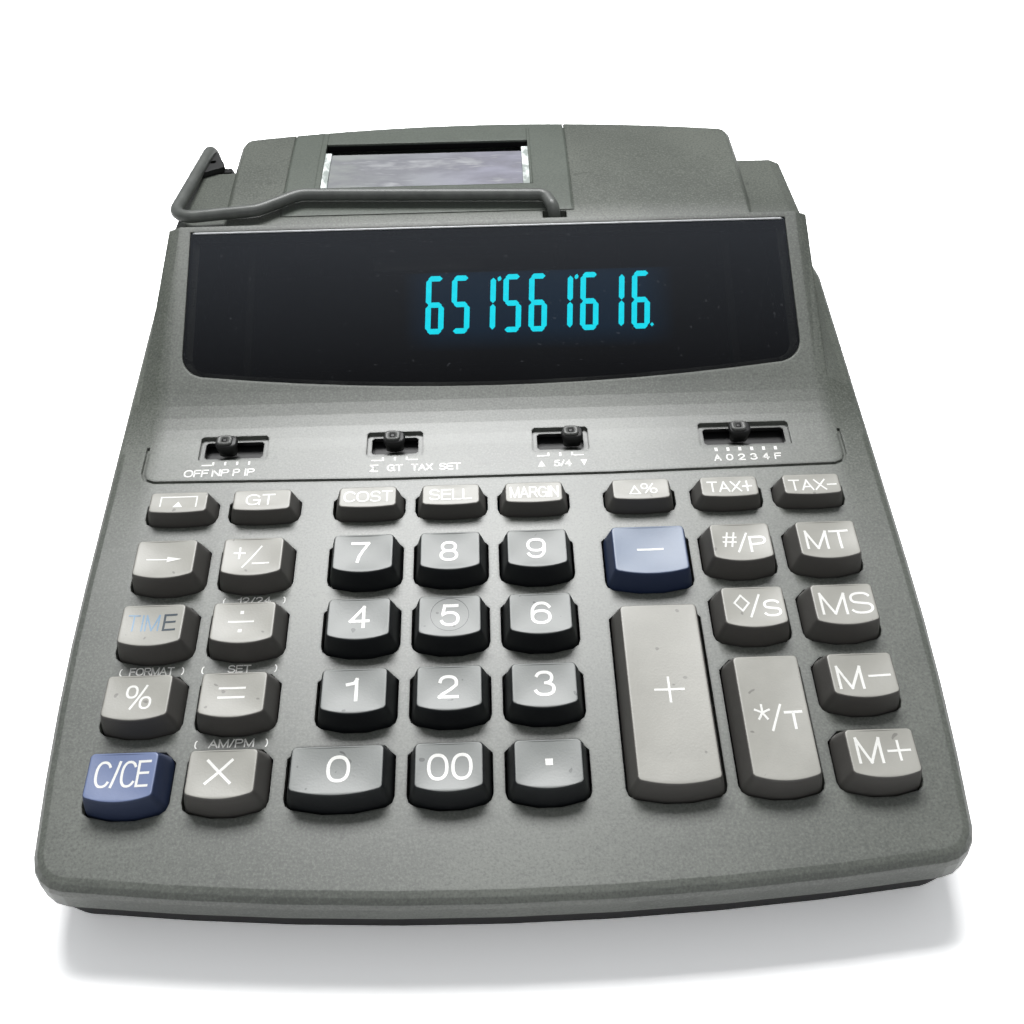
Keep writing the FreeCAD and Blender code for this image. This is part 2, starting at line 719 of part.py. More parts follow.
def all_keys():
    tall_total = ROW_PITCH + WELL_DEPTH
    low = {"depth": FUNCTION_WELL_DEPTH, "lean": FUNCTION_LEAN, "height": FUNCTION_KEY_HEIGHT}
    function_names = ["paper_feed", "grand_total", "cost", "sell", "margin", "percent_change", "tax_plus", "tax_minus"]
    keys = [Key("key_" + name, column, 4, **low) for column, name in enumerate(function_names)]
    rows = [
        (3, ["right_shift", "sign_change", "7", "8", "9", None, "item_count", "memory_total"]),
        (2, ["time", "divide", "4", "5", "6", None, "subtotal", "memory_subtotal"]),
        (1, ["percent", "equals", "1", "2", "3", None, None, "memory_minus"]),
        (0, ["clear", "multiply", None, "00", "point", None, None, "memory_plus"]),
    ]
    for row, names in rows:
        keys += [Key("key_" + name, column, row) for column, name in enumerate(names) if name]
    zero = Key("key_0", 2, 0, width=WELL_WIDTH + ZERO_EXTRA, lean=WIDE_LEAN)
    zero.x -= ZERO_EXTRA / 2
    wide = WELL_WIDTH + WIDE_EXTRA
    subtract = Key("key_subtract", 5, 3, width=wide, depth=WELL_DEPTH + SUBTRACT_EXTRA, lean=WIDE_LEAN)
    subtract.v -= SUBTRACT_EXTRA
    add = Key("key_add", 5, 0, width=wide, depth=subtract.v - ADD_GAP, lean=WIDE_LEAN)
    total = Key("key_total", 6, 0, depth=tall_total)
    return keys + [zero, subtract, add, total]


KEYS = all_keys()
PANEL = place(PANEL_Y, PANEL_Z, PANEL_ANGLE)
LENS_Y = REAR_Y - LENS_TO_REAR
LENS = place(LENS_Y, lens_height(LENS_Y), LENS_ANGLE)


# Display


def lens_outline(inset, w):
    radius = LENS_CORNER_R - inset
    return rounded_lens(LENS_WIDTH / 2 - inset, inset, LENS_LENGTH - inset, radius, w)


def rounded_lens(half, front, rear, radius, w):
    """Square upper corners, round lower ones and a bowed lower edge."""
    full_half = LENS_WIDTH / 2
    front_r = (full_half ** 2 + LENS_BOW ** 2) / (2 * LENS_BOW) - front
    centre = front + front_r
    low = centre - math.sqrt((front_r - radius) ** 2 - (half - radius) ** 2)
    touch = Vec(half - radius, low - centre, 0).normalize().multiply(front_r)
    lean = math.degrees(math.atan2(touch.y, touch.x))
    side = half - radius

    def corner(sign):
        turns = (lean, lean / 2, 0)
        return [Vec(sign * (side + radius * cos(a)), low + radius * sin(a), w) for a in turns]

    right = corner(1)
    left = corner(-1)
    edges = [
        arc(*right),
        line(right[2], Vec(half, rear, w)),
        line(Vec(half, rear, w), Vec(-half, rear, w)),
        line(Vec(-half, rear, w), left[2]),
        arc(left[2], left[1], left[0]),
        arc(left[0], Vec(0, front, w), right[0]),
    ]
    return Part.Wire(edges)


def display_lens():
    plate = upright(lens_outline(0.0, -LENS_DROP - LENS_THICKNESS), LENS_THICKNESS)
    return moved(plate, LENS)


def tube_place():
    """Axes of the display tube, from the lens's axes."""
    middle = FreeCAD.Placement(
        Vec(0, LENS_LENGTH / 2, -TUBE_DEPTH), FreeCAD.Rotation(Vec(1, 0, 0), TUBE_ANGLE - LENS_ANGLE)
    )
    return LENS.multiply(middle)


def display_tube():
    """A flat glass tube with a bevelled front edge and its pumping stub at one end."""
    half = TUBE_WIDTH / 2
    high = TUBE_HEIGHT / 2
    deep = TUBE_THICKNESS / 2
    glass = box(-half, half, -high, high, -deep, deep)
    stub = bar(8, 1.5, Vec(half - 6, 0, -deep - 2), Vec(half - 6, 0, -deep))
    return moved(glass.fuse(stub), tube_place())


# Upper shell


def switch_list():
    """Each switch: name, place of its first position, number of positions, position at rest."""
    return [
        ("power_switch_knob", POWER_SIDE - SIDE_X, 4, 1),
        ("mode_switch_knob", MODE_X, 3, 1),
        ("rounding_switch_knob", ROUNDING_X, 3, 2),
        ("decimal_switch_knob", SIDE_X - DECIMAL_SIDE, 6, 2),
    ]


def slot_span(first, count):
    return first - SLOT_MARGIN, first + (count - 1) * SWITCH_STEP + SLOT_MARGIN


def slot_cut(x0, x1, inset, w0, w1):
    """A slot for a switch knob, with chamfered corners."""
    half = SLOT_DEPTH / 2 - inset
    c = SLOT_CORNER
    a = x0 + inset
    b = x1 - inset
    low = SWITCH_V - half
    high = SWITCH_V + half
    corners = [(a + c, low), (b - c, low), (b, low + c), (b, high - c), (b - c, high), (a + c, high), (a, high - c), (a, low + c)]
    return polygon_prism([Vec(x, v, w0) for x, v in corners], Vec(0, 0, w1 - w0))


def groove_cut():
    """A fine groove round the front of the switch panel, dying out up its sides."""
    rings = []
    for grow in (GROOVE_WIDTH / 2, -GROOVE_WIDTH / 2):
        width = RAISED_WIDTH + 2 * grow
        outline = bowed_outline(
            0, GROOVE_V - grow, width, 3 * GROOVE_RUN + 2 * grow, GROOVE_CORNER_R + grow, GROOVE_LEAN, -GROOVE_DEPTH
        )
        rings.append(polygon_prism(outline, Vec(0, 0, 10.0)))
    ring = rings[0].cut(rings[1])
    keep = box(-BODY_WIDTH, BODY_WIDTH, GROOVE_V - 5, GROOVE_V + GROOVE_RUN, -5, 20)
    return moved(ring.common(keep), PANEL)


def lens_cuts():
    pocket = upright(lens_outline(-LENS_GAP, -LENS_DROP - LENS_THICKNESS), 20.0)
    through = upright(lens_outline(LENS_LEDGE, seat_bottom() - 1.0), 20.0)
    return [moved(pocket, LENS), moved(through, LENS)]


def seat_bottom():
    """Underside of the rim that carries the lens, on the lens's axes."""
    return -LENS_DROP - LENS_THICKNESS - LEDGE_THICKNESS


def lens_seat():
    """The rim under the lens, thicker than the shell, and the two brackets that hold the tube."""
    bottom = seat_bottom()
    seat = upright(lens_outline(-LENS_LEDGE, bottom), LEDGE_THICKNESS + 1.0)
    half = TUBE_WIDTH / 2
    brackets = []
    top = bottom + LEDGE_THICKNESS / 4
    ends = (BRACKET_DRAW, LENS_LENGTH - BRACKET_DRAW)
    points = [(-1.0, top), (LENS_LENGTH + 1.0, top), (ends[1], -BRACKET_DEPTH), (ends[0], -BRACKET_DEPTH)]
    for x0, x1 in ((half, half + BRACKET_THICKNESS), (-half - BRACKET_THICKNESS, -half)):
        brackets.append(side_prism(points, x0, x1))
    return [moved(shape, LENS) for shape in [seat] + brackets]


def cover_region(grow, z0, z1):
    """Plan of the printer cover as a tall block, grown on its three inner sides."""
    x0 = COVER_LEFT - grow
    x1 = COVER_LEFT + COVER_WIDTH + grow
    return box(x0, x1, REAR_Y - COVER_TO_REAR - grow, REAR_Y - 5, z0, z1)


def hump_layer(depth0, depth1):
    """A layer of the hump's wall between two depths."""
    return hump_form(depth0).cut(hump_form(depth1))


def cover_runners():
    """Runners under the edges of the printer cover."""
    low = COVER_SKIRT_Z - 4.0
    depth = COVER_WALL + RUNNER_GAP
    under = depth + RUNNER_THICKNESS
    opening = cover_region(COVER_GAP, low, TALL)
    frame = cover_region(COVER_GAP + RUNNER_WIDTH, low, TALL).cut(opening)
    runner = opening.cut(cover_region(-RUNNER_WIDTH, low - 1, TALL + 1))
    root = hump_layer(WALL / 2, under).common(frame)
    return root.fuse(hump_layer(depth, under).common(runner))


def inlet_cut():
    """Slot in the rear wall, where the paper from the roll goes in."""
    return box(WINDOW_LEFT, WINDOW_LEFT + WINDOW_WIDTH, HUMP_Y - 15, HUMP_Y + 10, INLET_Z, INLET_Z + INLET_HEIGHT)


def lug_window():
    """Opening in the left shoulder for the lugs of the bail."""
    half = BAIL_EYE_WIDTH / 2 + LUG_GAP + LUG_THICKNESS + 0.4
    return box(
        PIVOT.x - half, PIVOT.x + half, PIVOT.y - LUG_STOP_SETBACK - 0.6, PIVOT.y + LUG_R + 2.2, SPLIT_Z + 1, TALL
    )


def pocket_span():
    x = PIVOT.x + BAIL_TIP[0]
    y = CREST_Y + CREST_WIDTH
    return x - POCKET_WIDTH / 2, x + POCKET_WIDTH / 2, y, y + POCKET_DEPTH


def bosses():
    """Screw bosses and the posts that press the key mat and the board down."""
    solids = []
    for x, y in screw_places():
        roof = low_height(y) - WALL / 2
        solids.append(bar(BORE_STEPS, BOSS_R, Vec(x, y, boss_foot()), Vec(x, y, roof)))
    for x, v in post_places():
        half = POST_SIDE / 2
        post = box(x - half, x + half, v - half, v + half, -MAT_DEPTH, -WALL / 2)
        solids.append(moved(post, PANEL))
    return solids


def post_places():
    """Gaps between the key columns and rows, where the posts stand."""
    left = (column_x(1) + column_x(2)) / 2
    right = (column_x(4) + column_x(5) - WIDE_EXTRA / 2) / 2
    low_v = row_v(1) + WELL_DEPTH / 2
    high_v = (row_v(3) + WELL_DEPTH + row_v(4)) / 2
    return [(left, low_v), (right, low_v), (left, high_v), (right, high_v)]


def screw_places():
    front = FRONT_Y + SCREW_FRONT
    rear = REAR_Y - SCREW_REAR
    front_x = SIDE_X - SCREW_FRONT_SIDE
    rear_x = SIDE_X - SCREW_REAR_SIDE
    return [(front_x, front), (-front_x, front), (rear_x, rear), (-rear_x, rear)]


def boss_foot():
    """Height where the upper shell's bosses meet the lower case's."""
    return FLOOR_Z + SCREW_HEAD_HEIGHT + SCREW_HEAD_GAP + SCREW_FLOOR


def upper_shell():
    shell = case_form(0.0).cut(case_form(WALL))
    x0, x1, y0, y1 = pocket_span()
    pocket_floor = box(x0 - 1, x1 + 1, y0 - 1, y1 + 1, POCKET_Z - LEDGE_THICKNESS, POCKET_Z)
    shell = shell.fuse(lens_seat() + [cover_runners(), pocket_floor] + bosses())
    cuts = [moved(key.well(), PANEL) for key in KEYS]
    cuts += lens_cuts()
    cuts += [groove_cut(), inlet_cut(), lug_window(), box(x0, x1, y0, y1, POCKET_Z, TALL)]
    cuts.append(hump_layer(-1.0, COVER_WALL + RUNNER_GAP).common(cover_region(COVER_GAP, COVER_SKIRT_Z - COVER_GAP, TALL)))
    for _, first, count, _ in switch_list():
        a, b = slot_span(first, count)
        cuts.append(moved(slot_cut(a, b, 0.0, -SLOT_STEP_DEPTH, 10.0), PANEL))
        cuts.append(moved(slot_cut(a, b, SLOT_STEP, -2 * WALL, 5.0), PANEL))
    for x, y in screw_places():
        depth = SCREW_LENGTH - SCREW_FLOOR
        cuts.append(bar(BORE_STEPS, SCREW_R, Vec(x, y, boss_foot() - 1), Vec(x, y, boss_foot() + depth)))
    cuts.append(bushing_form())
    return shell.cut(cuts)


# Lower case and what stands in it


def bushing_form():
    """The cord bushing's outer form, flush with the rear wall and held behind it by a lip."""

    def disc(radius, front, rear):
        ring = []
        for i in range(ROUND_STEPS):
            turn = 360.0 * (i + 0.5) / ROUND_STEPS
            ring.append(Vec(BUSHING_X + radius * cos(turn), REAR_Y - rear, BUSHING_Z + radius * sin(turn)))
        return polygon_prism(ring, Vec(0, rear - front, 0))

    flange = disc(FLANGE_R, 0.0, FLANGE_THICKNESS)
    barrel = disc(BUSHING_R, 0.0, WALL + 4.0)
    return flange.fuse([barrel, disc(FLANGE_R, WALL, WALL + 2.0)])


def cord_bushing():
    bore = box(
        BUSHING_X - CORD_WIDTH / 2,
        BUSHING_X + CORD_WIDTH / 2,
        REAR_Y - 30,
        REAR_Y + 5,
        BUSHING_Z - CORD_THICKNESS / 2,
        BUSHING_Z + CORD_THICKNESS / 2,
    )
    return bushing_form().cut(bore)


def lugs():
    """Two lugs with a pin between them for the bail, and a stop in front that it rests against."""
    inner = BAIL_EYE_WIDTH / 2 + LUG_GAP
    outer = inner + LUG_THICKNESS
    front = PIVOT.y - LUG_STOP_SETBACK
    half = LUG_DEPTH / 2
    low = FLOOR_Z + BASE_WALL / 2
    top = PIVOT.z + LUG_STOP_HEIGHT
    points = [
        (front, top),
        (front + 2.4, top),
        (PIVOT.y + half, PIVOT.z),
        (PIVOT.y + half, low),
        (PIVOT.y - half, low),
        (PIVOT.y - half, PIVOT.z - 14),
        (front, PIVOT.z - 10),
    ]
    plates = []
    for x0, x1 in ((PIVOT.x - outer, PIVOT.x - inner), (PIVOT.x + inner, PIVOT.x + outer)):
        boss = spindle(LUG_R, Vec(x0, PIVOT.y, PIVOT.z), Vec(x1, PIVOT.y, PIVOT.z))
        plates.append(side_prism(points, x0, x1).fuse(boss))
    web = box(PIVOT.x - outer, PIVOT.x + outer, front, front + 2.4, PIVOT.z - 9, top)
    pin = spindle(BAIL_PIN_R, Vec(PIVOT.x - outer, PIVOT.y, PIVOT.z), Vec(PIVOT.x + outer, PIVOT.y, PIVOT.z))
    return plates[0].fuse([plates[1], web, pin])


def board_under(y):
    """Height of the board's underside at y."""
    return panel_height(y, MAT_DEPTH + MAT_THICKNESS + BOARD_THICKNESS)


def under_board():
    """The space under the board's underside."""
    points = [(y, board_under(y)) for y in (FRONT_Y, REAR_Y)] + [(REAR_Y, 0.0), (FRONT_Y, 0.0)]
    return side_prism(points, -BODY_WIDTH, BODY_WIDTH)


def lower_case():
    outer = faceted([plan_points(BASE_INSET, FLOOR_Z), plan_points(BASE_STEP, SPLIT_Z)])
    floor = FLOOR_Z + BASE_WALL
    inner = faceted([plan_points(BASE_INSET + BASE_WALL, floor), plan_points(BASE_STEP + BASE_WALL, SPLIT_Z)])
    tray = outer.cut(inner)
    solids = [lugs()]
    low = FLOOR_Z + BASE_WALL / 2
    for x, y in screw_places():
        solids.append(bar(8, SCREW_HEAD_R + 1.6, Vec(x, y, low), Vec(x, y, boss_foot())))
    supports = []
    reach = SIDE_X - BOARD_SIDE - 2 * POST_SIDE
    for x in (-reach, 0.0, reach):
        for v in (POST_SIDE, SWITCH_V):
            y = PANEL_Y + v * cos(PANEL_ANGLE)
            supports.append(bar(4, POST_SIDE / 2, Vec(x, y, low), Vec(x, y, TALL)).common(under_board()))
    frame_x = (FRAME_LEFT + 5, FRAME_LEFT + FRAME_WIDTH - 5)
    frame_y = (REAR_Y - FRAME_TO_REAR + 5, REAR_Y - FRAME_TO_REAR + FRAME_DEPTH - 5)
    for x in frame_x:
        for y in frame_y:
            supports.append(bar(4, POST_SIDE / 2, Vec(x, y, low), Vec(x, y, FRAME_Z)))
    case = tray.fuse(solids + supports)
    cuts = []
    for x, y in screw_places():
        seat = FLOOR_Z + SCREW_HEAD_HEIGHT + SCREW_HEAD_GAP
        cuts.append(bar(ROUND_STEPS, SCREW_HEAD_R + SCREW_HEAD_GAP, Vec(x, y, FLOOR_Z - 1), Vec(x, y, seat)))
        cuts.append(bar(BORE_STEPS, SCREW_R, Vec(x, y, seat - 1), Vec(x, y, boss_foot() + 1)))
    for x, y in foot_places():
        cuts.append(bar(ROUND_STEPS, FOOT_R, Vec(x, y, FLOOR_Z - 1), Vec(x, y, FLOOR_Z + FOOT_RECESS)))
    return case.cut(cuts)


def foot_places():
    x = BODY_WIDTH / 2 - FOOT_SIDE
    return [(sx * x, y) for sx in (1, -1) for y in (FRONT_Y + FOOT_FRONT, REAR_Y - FOOT_REAR)]


def rubber_feet():
    feet = []
    for x, y in foot_places():
        feet.append(bar(ROUND_STEPS, FOOT_R, Vec(x, y, 0), Vec(x, y, FLOOR_Z + FOOT_RECESS)))
    return Part.makeCompound(feet)


def case_screws():
    screws = []
    for x, y in screw_places():
        seat = FLOOR_Z + SCREW_HEAD_HEIGHT + SCREW_HEAD_GAP
        head = bar(ROUND_STEPS, SCREW_HEAD_R, Vec(x, y, seat - SCREW_HEAD_HEIGHT), Vec(x, y, seat))
        screws.append(head.fuse(bar(BORE_STEPS, SCREW_R, Vec(x, y, seat - 0.5), Vec(x, y, seat + SCREW_LENGTH))))
    return Part.makeCompound(screws)


def mat_span():
    """Left, right and front of the mat and the board, on the panel's axes."""
    half = SIDE_X - BOARD_SIDE
    return -half, half, -MAT_MARGIN


def key_mat():
    x0, x1, v0 = mat_span()
    v1 = row_v(4) + FUNCTION_WELL_DEPTH + MAT_MARGIN
    bottom = -MAT_DEPTH - MAT_THICKNESS
    sheet = box(x0, x1, v0, v1, bottom, -MAT_DEPTH)
    collars = []
    bores = []
    bore = PLUNGER_SIDE + 2 * COLLAR_GAP
    for key in KEYS:
        v = key.middle_v()
        top = -MAT_DEPTH + COLLAR_HEIGHT
        collars.append(faceted([square(key.x, v, COLLAR_BASE, -MAT_DEPTH - 0.2), square(key.x, v, COLLAR_TOP, top)]))
        bores.append(polygon_prism(square(key.x, v, bore, -MAT_DEPTH), Vec(0, 0, 2 * COLLAR_HEIGHT)))
    return moved(sheet.fuse(collars).cut(bores), PANEL)


def main_board():
    x0, x1, v0 = mat_span()
    top = -MAT_DEPTH - MAT_THICKNESS
    return moved(box(x0, x1, v0, SWITCH_V + BOARD_BEHIND, top - BOARD_THICKNESS, top), PANEL)


def slide_switches():
    """The four switch bodies on the board, under their slots."""
    bodies = []
    board = -MAT_DEPTH - MAT_THICKNESS
    top = -WALL - 1.0
    half = SLOT_DEPTH / 2
    for _, first, count, _ in switch_list():
        x0, x1 = slot_span(first, count)
        grow = SWITCH_BODY_MARGIN
        bodies.append(box(x0 - grow, x1 + grow, SWITCH_V - half, SWITCH_V + half, board, top))
    return moved(Part.makeCompound(bodies), PANEL)


def switch_knob(first, rest):
    """A ribbed knob with a skirt that flares out below its grip."""
    x = first + rest * SWITCH_STEP
    wide = KNOB_WIDTH / 2
    deep = KNOB_DEPTH / 2
    foot_w = -WALL - 1.0 + KNOB_GAP
    sections = []
    for grow, w in ((KNOB_FLARE, foot_w), (KNOB_FLARE, 0.6), (0.0, KNOB_RISE)):
        a = wide + grow
        b = deep + grow
        corners = [Vec(x - a, -b, w), Vec(x + a, -b, w), Vec(x + a, b, w), Vec(x - a, b, w)]
        sections.append(corners)
    knob = faceted(sections)
    notches = []
    for i in (-1, 0, 1):
        middle = x + KNOB_RIB * i
        half = KNOB_RIB / 5
        notches.append(box(middle - half, middle + half, -deep - 1, deep + 1, KNOB_RISE - half, KNOB_RISE + 1))
    knob = knob.cut(notches)
    knob.translate(Vec(0, SWITCH_V, 0))
    return moved(knob, PANEL)


def power_transformer():
    """A laminated core standing on the floor, with its winding through the middle."""
    y = REAR_Y - TRANSFORMER_TO_REAR
    z = FLOOR_Z + BASE_WALL
    x = SIDE_X - TRANSFORMER_SIDE
    core = box(x - CORE_WIDTH / 2, x + CORE_WIDTH / 2, y - CORE_DEPTH / 2, y + CORE_DEPTH / 2, z, z + CORE_HEIGHT)
    low = z + (CORE_HEIGHT - COIL_HEIGHT) / 2
    coil = box(x - COIL_WIDTH / 2, x + COIL_WIDTH / 2, y - COIL_DEPTH / 2, y + COIL_DEPTH / 2, low, low + COIL_HEIGHT)
    coil = coil.makeChamfer(3.0, [edge for edge in coil.Edges if abs(edge.Vertexes[0].Z - edge.Vertexes[-1].Z) > 1])
    return core.fuse(coil)


# Printer cover, bail and printing mechanism


def window_region(grow):
    x0 = WINDOW_LEFT - grow
    x1 = WINDOW_LEFT + WINDOW_WIDTH + grow
    y = REAR_Y - WINDOW_TO_REAR
    return box(x0, x1, y - grow, y + WINDOW_LENGTH, DECK_Z - 6, TALL)


def printer_cover():
    """The removable part of the hump: its top, its rear wall and the paper's exit behind the window."""
    region = cover_region(0.0, COVER_SKIRT_Z, TALL)
    cover = hump_layer(0.0, COVER_WALL).common(region)
    y = REAR_Y - WINDOW_TO_REAR
    opening = box(WINDOW_LEFT, WINDOW_LEFT + WINDOW_WIDTH, y, y + WINDOW_LENGTH + EXIT_SLOT, DECK_Z - 6, TALL)
    return cover.cut(opening)


def cover_window():
    """Clear plate over the printed line, with its two end walls standing up to the cover's face."""
    plate = hump_layer(WINDOW_DROP, WINDOW_DROP + WINDOW_THICKNESS).common(window_region(0.0))
    walls = []
    for x in (WINDOW_LEFT, WINDOW_LEFT + WINDOW_WIDTH - 1.6):
        y = REAR_Y - WINDOW_TO_REAR
        span = box(x, x + 1.6, y, y + WINDOW_LENGTH, DECK_Z - 6, TALL)
        walls.append(hump_layer(0.2, WINDOW_DROP + 0.5).common(span))
    return plate.fuse(walls)


def rounded_points(points, radii, steps):
    """The corner points of a path whose bends are rounded in a few steps."""
    path = [points[0]]
    for before, corner, after, radius in zip(points, points[1:], points[2:], radii):
        back = (before - corner).normalize()
        on = (after - corner).normalize()
        half = math.acos(max(-1.0, min(1.0, back.dot(on)))) / 2
        reach = radius / math.tan(half)
        centre = corner + (back + on).normalize() * (radius / math.sin(half))
        start = corner + back * reach - centre
        end = corner + on * reach - centre
        sweep = math.degrees(math.pi - 2 * half)
        for i in range(steps + 1):
            turn = sweep * i / steps
            path.append(centre + (start * sin(sweep - turn) + end * sin(turn)) * (1 / sin(sweep)))
    return path + [points[-1]]


def bent_bar(radius, sides, path):
    """A bar of many sides along a path, mitred at every corner."""
    ways = [(b - a).normalize() for a, b in zip(path, path[1:])]
    across = ways[0].cross(Vec(0, 1, 0)).normalize()
    third = ways[0].cross(across)
    ring = []
    for i in range(sides):
        turn = 360.0 * i / sides
        ring.append(path[0] + across * (radius * cos(turn)) + third * (radius * sin(turn)))
    sections = [ring]
    for i, way in enumerate(ways):
        plane = way + ways[min(i + 1, len(ways) - 1)]
        ring = [point + way * ((path[i + 1] - point).dot(plane) / way.dot(plane)) for point in ring]
        sections.append(ring)
    return faceted(sections)


def paper_roll_bail():
    """A bent rod: up from its eye, along the left side, across the front and over the cover to a hook."""
    eye = spindle(BAIL_EYE_R, PIVOT - Vec(BAIL_EYE_WIDTH / 2, 0, 0), PIVOT + Vec(BAIL_EYE_WIDTH / 2, 0, 0))
    corners = [BAIL_APEX, BAIL_CORNER, BAIL_BEND_START, BAIL_BEND_END, BAIL_SPINDLE_END, BAIL_KNEE, BAIL_TIP]
    points = [PIVOT] + [PIVOT + Vec(*corner) for corner in corners]
    radii = [BAIL_APEX_R, BAIL_CORNER_R, BAIL_STEP_R, BAIL_STEP_R, BAIL_HOOK_R, BAIL_KNEE_R]
    wire = bent_bar(BAIL_R, BAIL_SIDES, rounded_points(points, radii, BAIL_STEPS))
    bore = rod(BAIL_PIN_R + BAIL_PIN_GAP, PIVOT - Vec(10, 0, 0), PIVOT + Vec(10, 0, 0))
    return eye.fuse(wire).cut(bore)


def axis_point(x):
    """A point on the platen's axis."""
    return Vec(x, REAR_Y - PLATEN_TO_REAR, PLATEN_Z)


def motor_point(x):
    """A point on the motor's axis, where its pinion meshes with the platen's gear."""
    distance = GEAR_MODULE * (PLATEN_TEETH + PINION_TEETH) / 2 + MESH_GAP
    return axis_point(x) + Vec(0, distance * cos(MOTOR_ANGLE), distance * sin(MOTOR_ANGLE))


def gear(teeth, centre, phase):
    """A spur gear along X with straight flanks."""
    pitch_r = GEAR_MODULE * teeth / 2
    outer = pitch_r + 0.8 * GEAR_MODULE
    root = pitch_r - 1.0 * GEAR_MODULE
    step = 360.0 / teeth
    points = []
    for i in range(teeth):
        base = phase + i * step
        for share, radius in ((-0.33, root), (-0.1, outer), (0.1, outer), (0.33, root)):
            angle = base + share * step
            points.append(centre + Vec(0, radius * cos(angle), radius * sin(angle)))
    return polygon_prism(points, Vec(GEAR_WIDTH, 0, 0))


def frame_right():
    return FRAME_LEFT + FRAME_WIDTH


def gear_x():
    return frame_right() + GEAR_GAP


def platen_roller():
    """Rubber roller on its shaft, with a toothed wheel outside the frame."""
    middle = FRAME_LEFT + FRAME_WIDTH / 2
    half = PLATEN_LENGTH / 2
    roller = spindle(PLATEN_R, axis_point(middle - half), axis_point(middle + half), 16)
    journal = rod(SHAFT_R, axis_point(FRAME_LEFT - 2), axis_point(middle - half))
    shaft = spindle(SHAFT_R, axis_point(middle), axis_point(gear_x() + GEAR_WIDTH + 1))
    wheel = gear(PLATEN_TEETH, axis_point(gear_x()), MOTOR_ANGLE)
    return roller.fuse([journal, shaft, wheel])


def motor_pinion():
    depth = 5.0
    step = 360.0 / PINION_TEETH
    wheel = gear(PINION_TEETH, motor_point(gear_x()), MOTOR_ANGLE + 180 + step / 2)
    inside = frame_right() - FRAME_WALL - depth
    journal = rod(SHAFT_R, motor_point(inside), motor_point(frame_right() - FRAME_WALL))
    shaft = spindle(SHAFT_R, motor_point(frame_right() - FRAME_WALL), motor_point(gear_x() + GEAR_WIDTH))
    return wheel.fuse([journal, shaft])


def feed_motor():
    face = frame_right() - FRAME_WALL
    can = spindle(MOTOR_R, motor_point(face - MOTOR_LENGTH), motor_point(face), 16)
    bore = spindle_bore(SHAFT_R + SHAFT_GAP, motor_point(face - 5.5), motor_point(face + 1))
    return can.cut(bore)


def rail_points():
    """The two guide rails of the print carriage, one above the other."""
    wheel_y = axis_point(0).y - PLATEN_R - PRINT_GAP - PRINT_WHEEL_R
    y = wheel_y - 2.0
    middle = CARRIAGE_Z + CARRIAGE_HEIGHT / 2 - 2.0
    return [(y, middle - RAIL_SPACING / 2), (y, middle + RAIL_SPACING / 2)]


def printer_frame():
    """A bent sheet tray with two side walls, which carry the platen, the motor and the rails."""
    front = REAR_Y - FRAME_TO_REAR
    rear = front + FRAME_DEPTH
    x0 = FRAME_LEFT
    x1 = frame_right()
    outline = [
        (front, FRAME_Z),
        (rear, FRAME_Z),
        (rear, FRAME_Z + FRAME_HEIGHT - 10),
        (rear - 8, FRAME_Z + FRAME_HEIGHT),
        (front + 8, FRAME_Z + FRAME_HEIGHT),
        (front, FRAME_Z + FRAME_HEIGHT - 10),
    ]
    floor = box(x0, x1, front, rear, FRAME_Z, FRAME_Z + FRAME_WALL)
    walls = [side_prism(outline, x0, x0 + FRAME_WALL), side_prism(outline, x1 - FRAME_WALL, x1)]
    rails = [spindle(RAIL_R, Vec(x0, y, z), Vec(x1, y, z)) for y, z in rail_points()]
    frame = floor.fuse(walls + rails)
    bore = SHAFT_R + SHAFT_GAP
    cuts = [spindle_bore(bore, axis_point(x0 - 5), axis_point(x1 + 5))]
    cuts.append(spindle_bore(bore, motor_point(x1 - FRAME_WALL - 1), motor_point(x1 + 5)))
    return frame.cut(cuts)


def print_carriage():
    """A block on two rails with a print wheel that faces the platen and an ink roller above it."""
    (y, low), (_, high) = rail_points()
    x0 = FRAME_LEFT + FRAME_WALL + CARRIAGE_REST
    x1 = x0 + CARRIAGE_WIDTH
    block = box(x0, x1, y - CARRIAGE_DEPTH / 2, y + CARRIAGE_DEPTH / 2, CARRIAGE_Z - 2, CARRIAGE_Z + CARRIAGE_HEIGHT)
    wheel_y = axis_point(0).y - PLATEN_R - PRINT_GAP - PRINT_WHEEL_R
    middle = (x0 + x1) / 2
    half = PRINT_WHEEL_WIDTH / 2
    wheel = spindle(PRINT_WHEEL_R, Vec(middle - half, wheel_y, PLATEN_Z), Vec(middle + half, wheel_y, PLATEN_Z))
    block = block.fuse(wheel)
    bores = [spindle_bore(RAIL_R + SHAFT_GAP, Vec(x0 - 1, y, z), Vec(x1 + 1, y, z)) for z in (low, high)]
    return block.cut(bores)


def all_parts():
    parts = {
        "upper_shell": upper_shell(),
        "lower_case": lower_case(),
        "display_lens": display_lens(),
        "display_tube": display_tube(),
        "printer_cover": printer_cover(),
        "cover_window": cover_window(),
        "paper_roll_bail": paper_roll_bail(),
        "key_mat": key_mat(),
        "main_board": main_board(),
        "slide_switches": slide_switches(),
        "power_transformer": power_transformer(),
        "printer_frame": printer_frame(),
        "platen_roller": platen_roller(),
        "feed_motor": feed_motor(),
        "motor_pinion": motor_pinion(),
        "print_carriage": print_carriage(),
        "rubber_feet": rubber_feet(),
        "case_screws": case_screws(),
        "cord_bushing": cord_bushing(),
    }
    for name, first, _, rest in switch_list():
        parts[name] = switch_knob(first, rest)
    for key in KEYS:
        parts[key.name] = moved(key.solid(), PANEL)
    return parts


if __name__ == "__main__":
    os.makedirs("parts", exist_ok=True)
    for name, shape in all_parts().items():
        solids = shape.Solids
        if not shape.isValid() or not solids:
            print("check", name, shape.isValid(), len(solids))
        shape.exportStep("parts/" + name + ".step")
        print(name, len(solids), round(shape.Volume, 1))
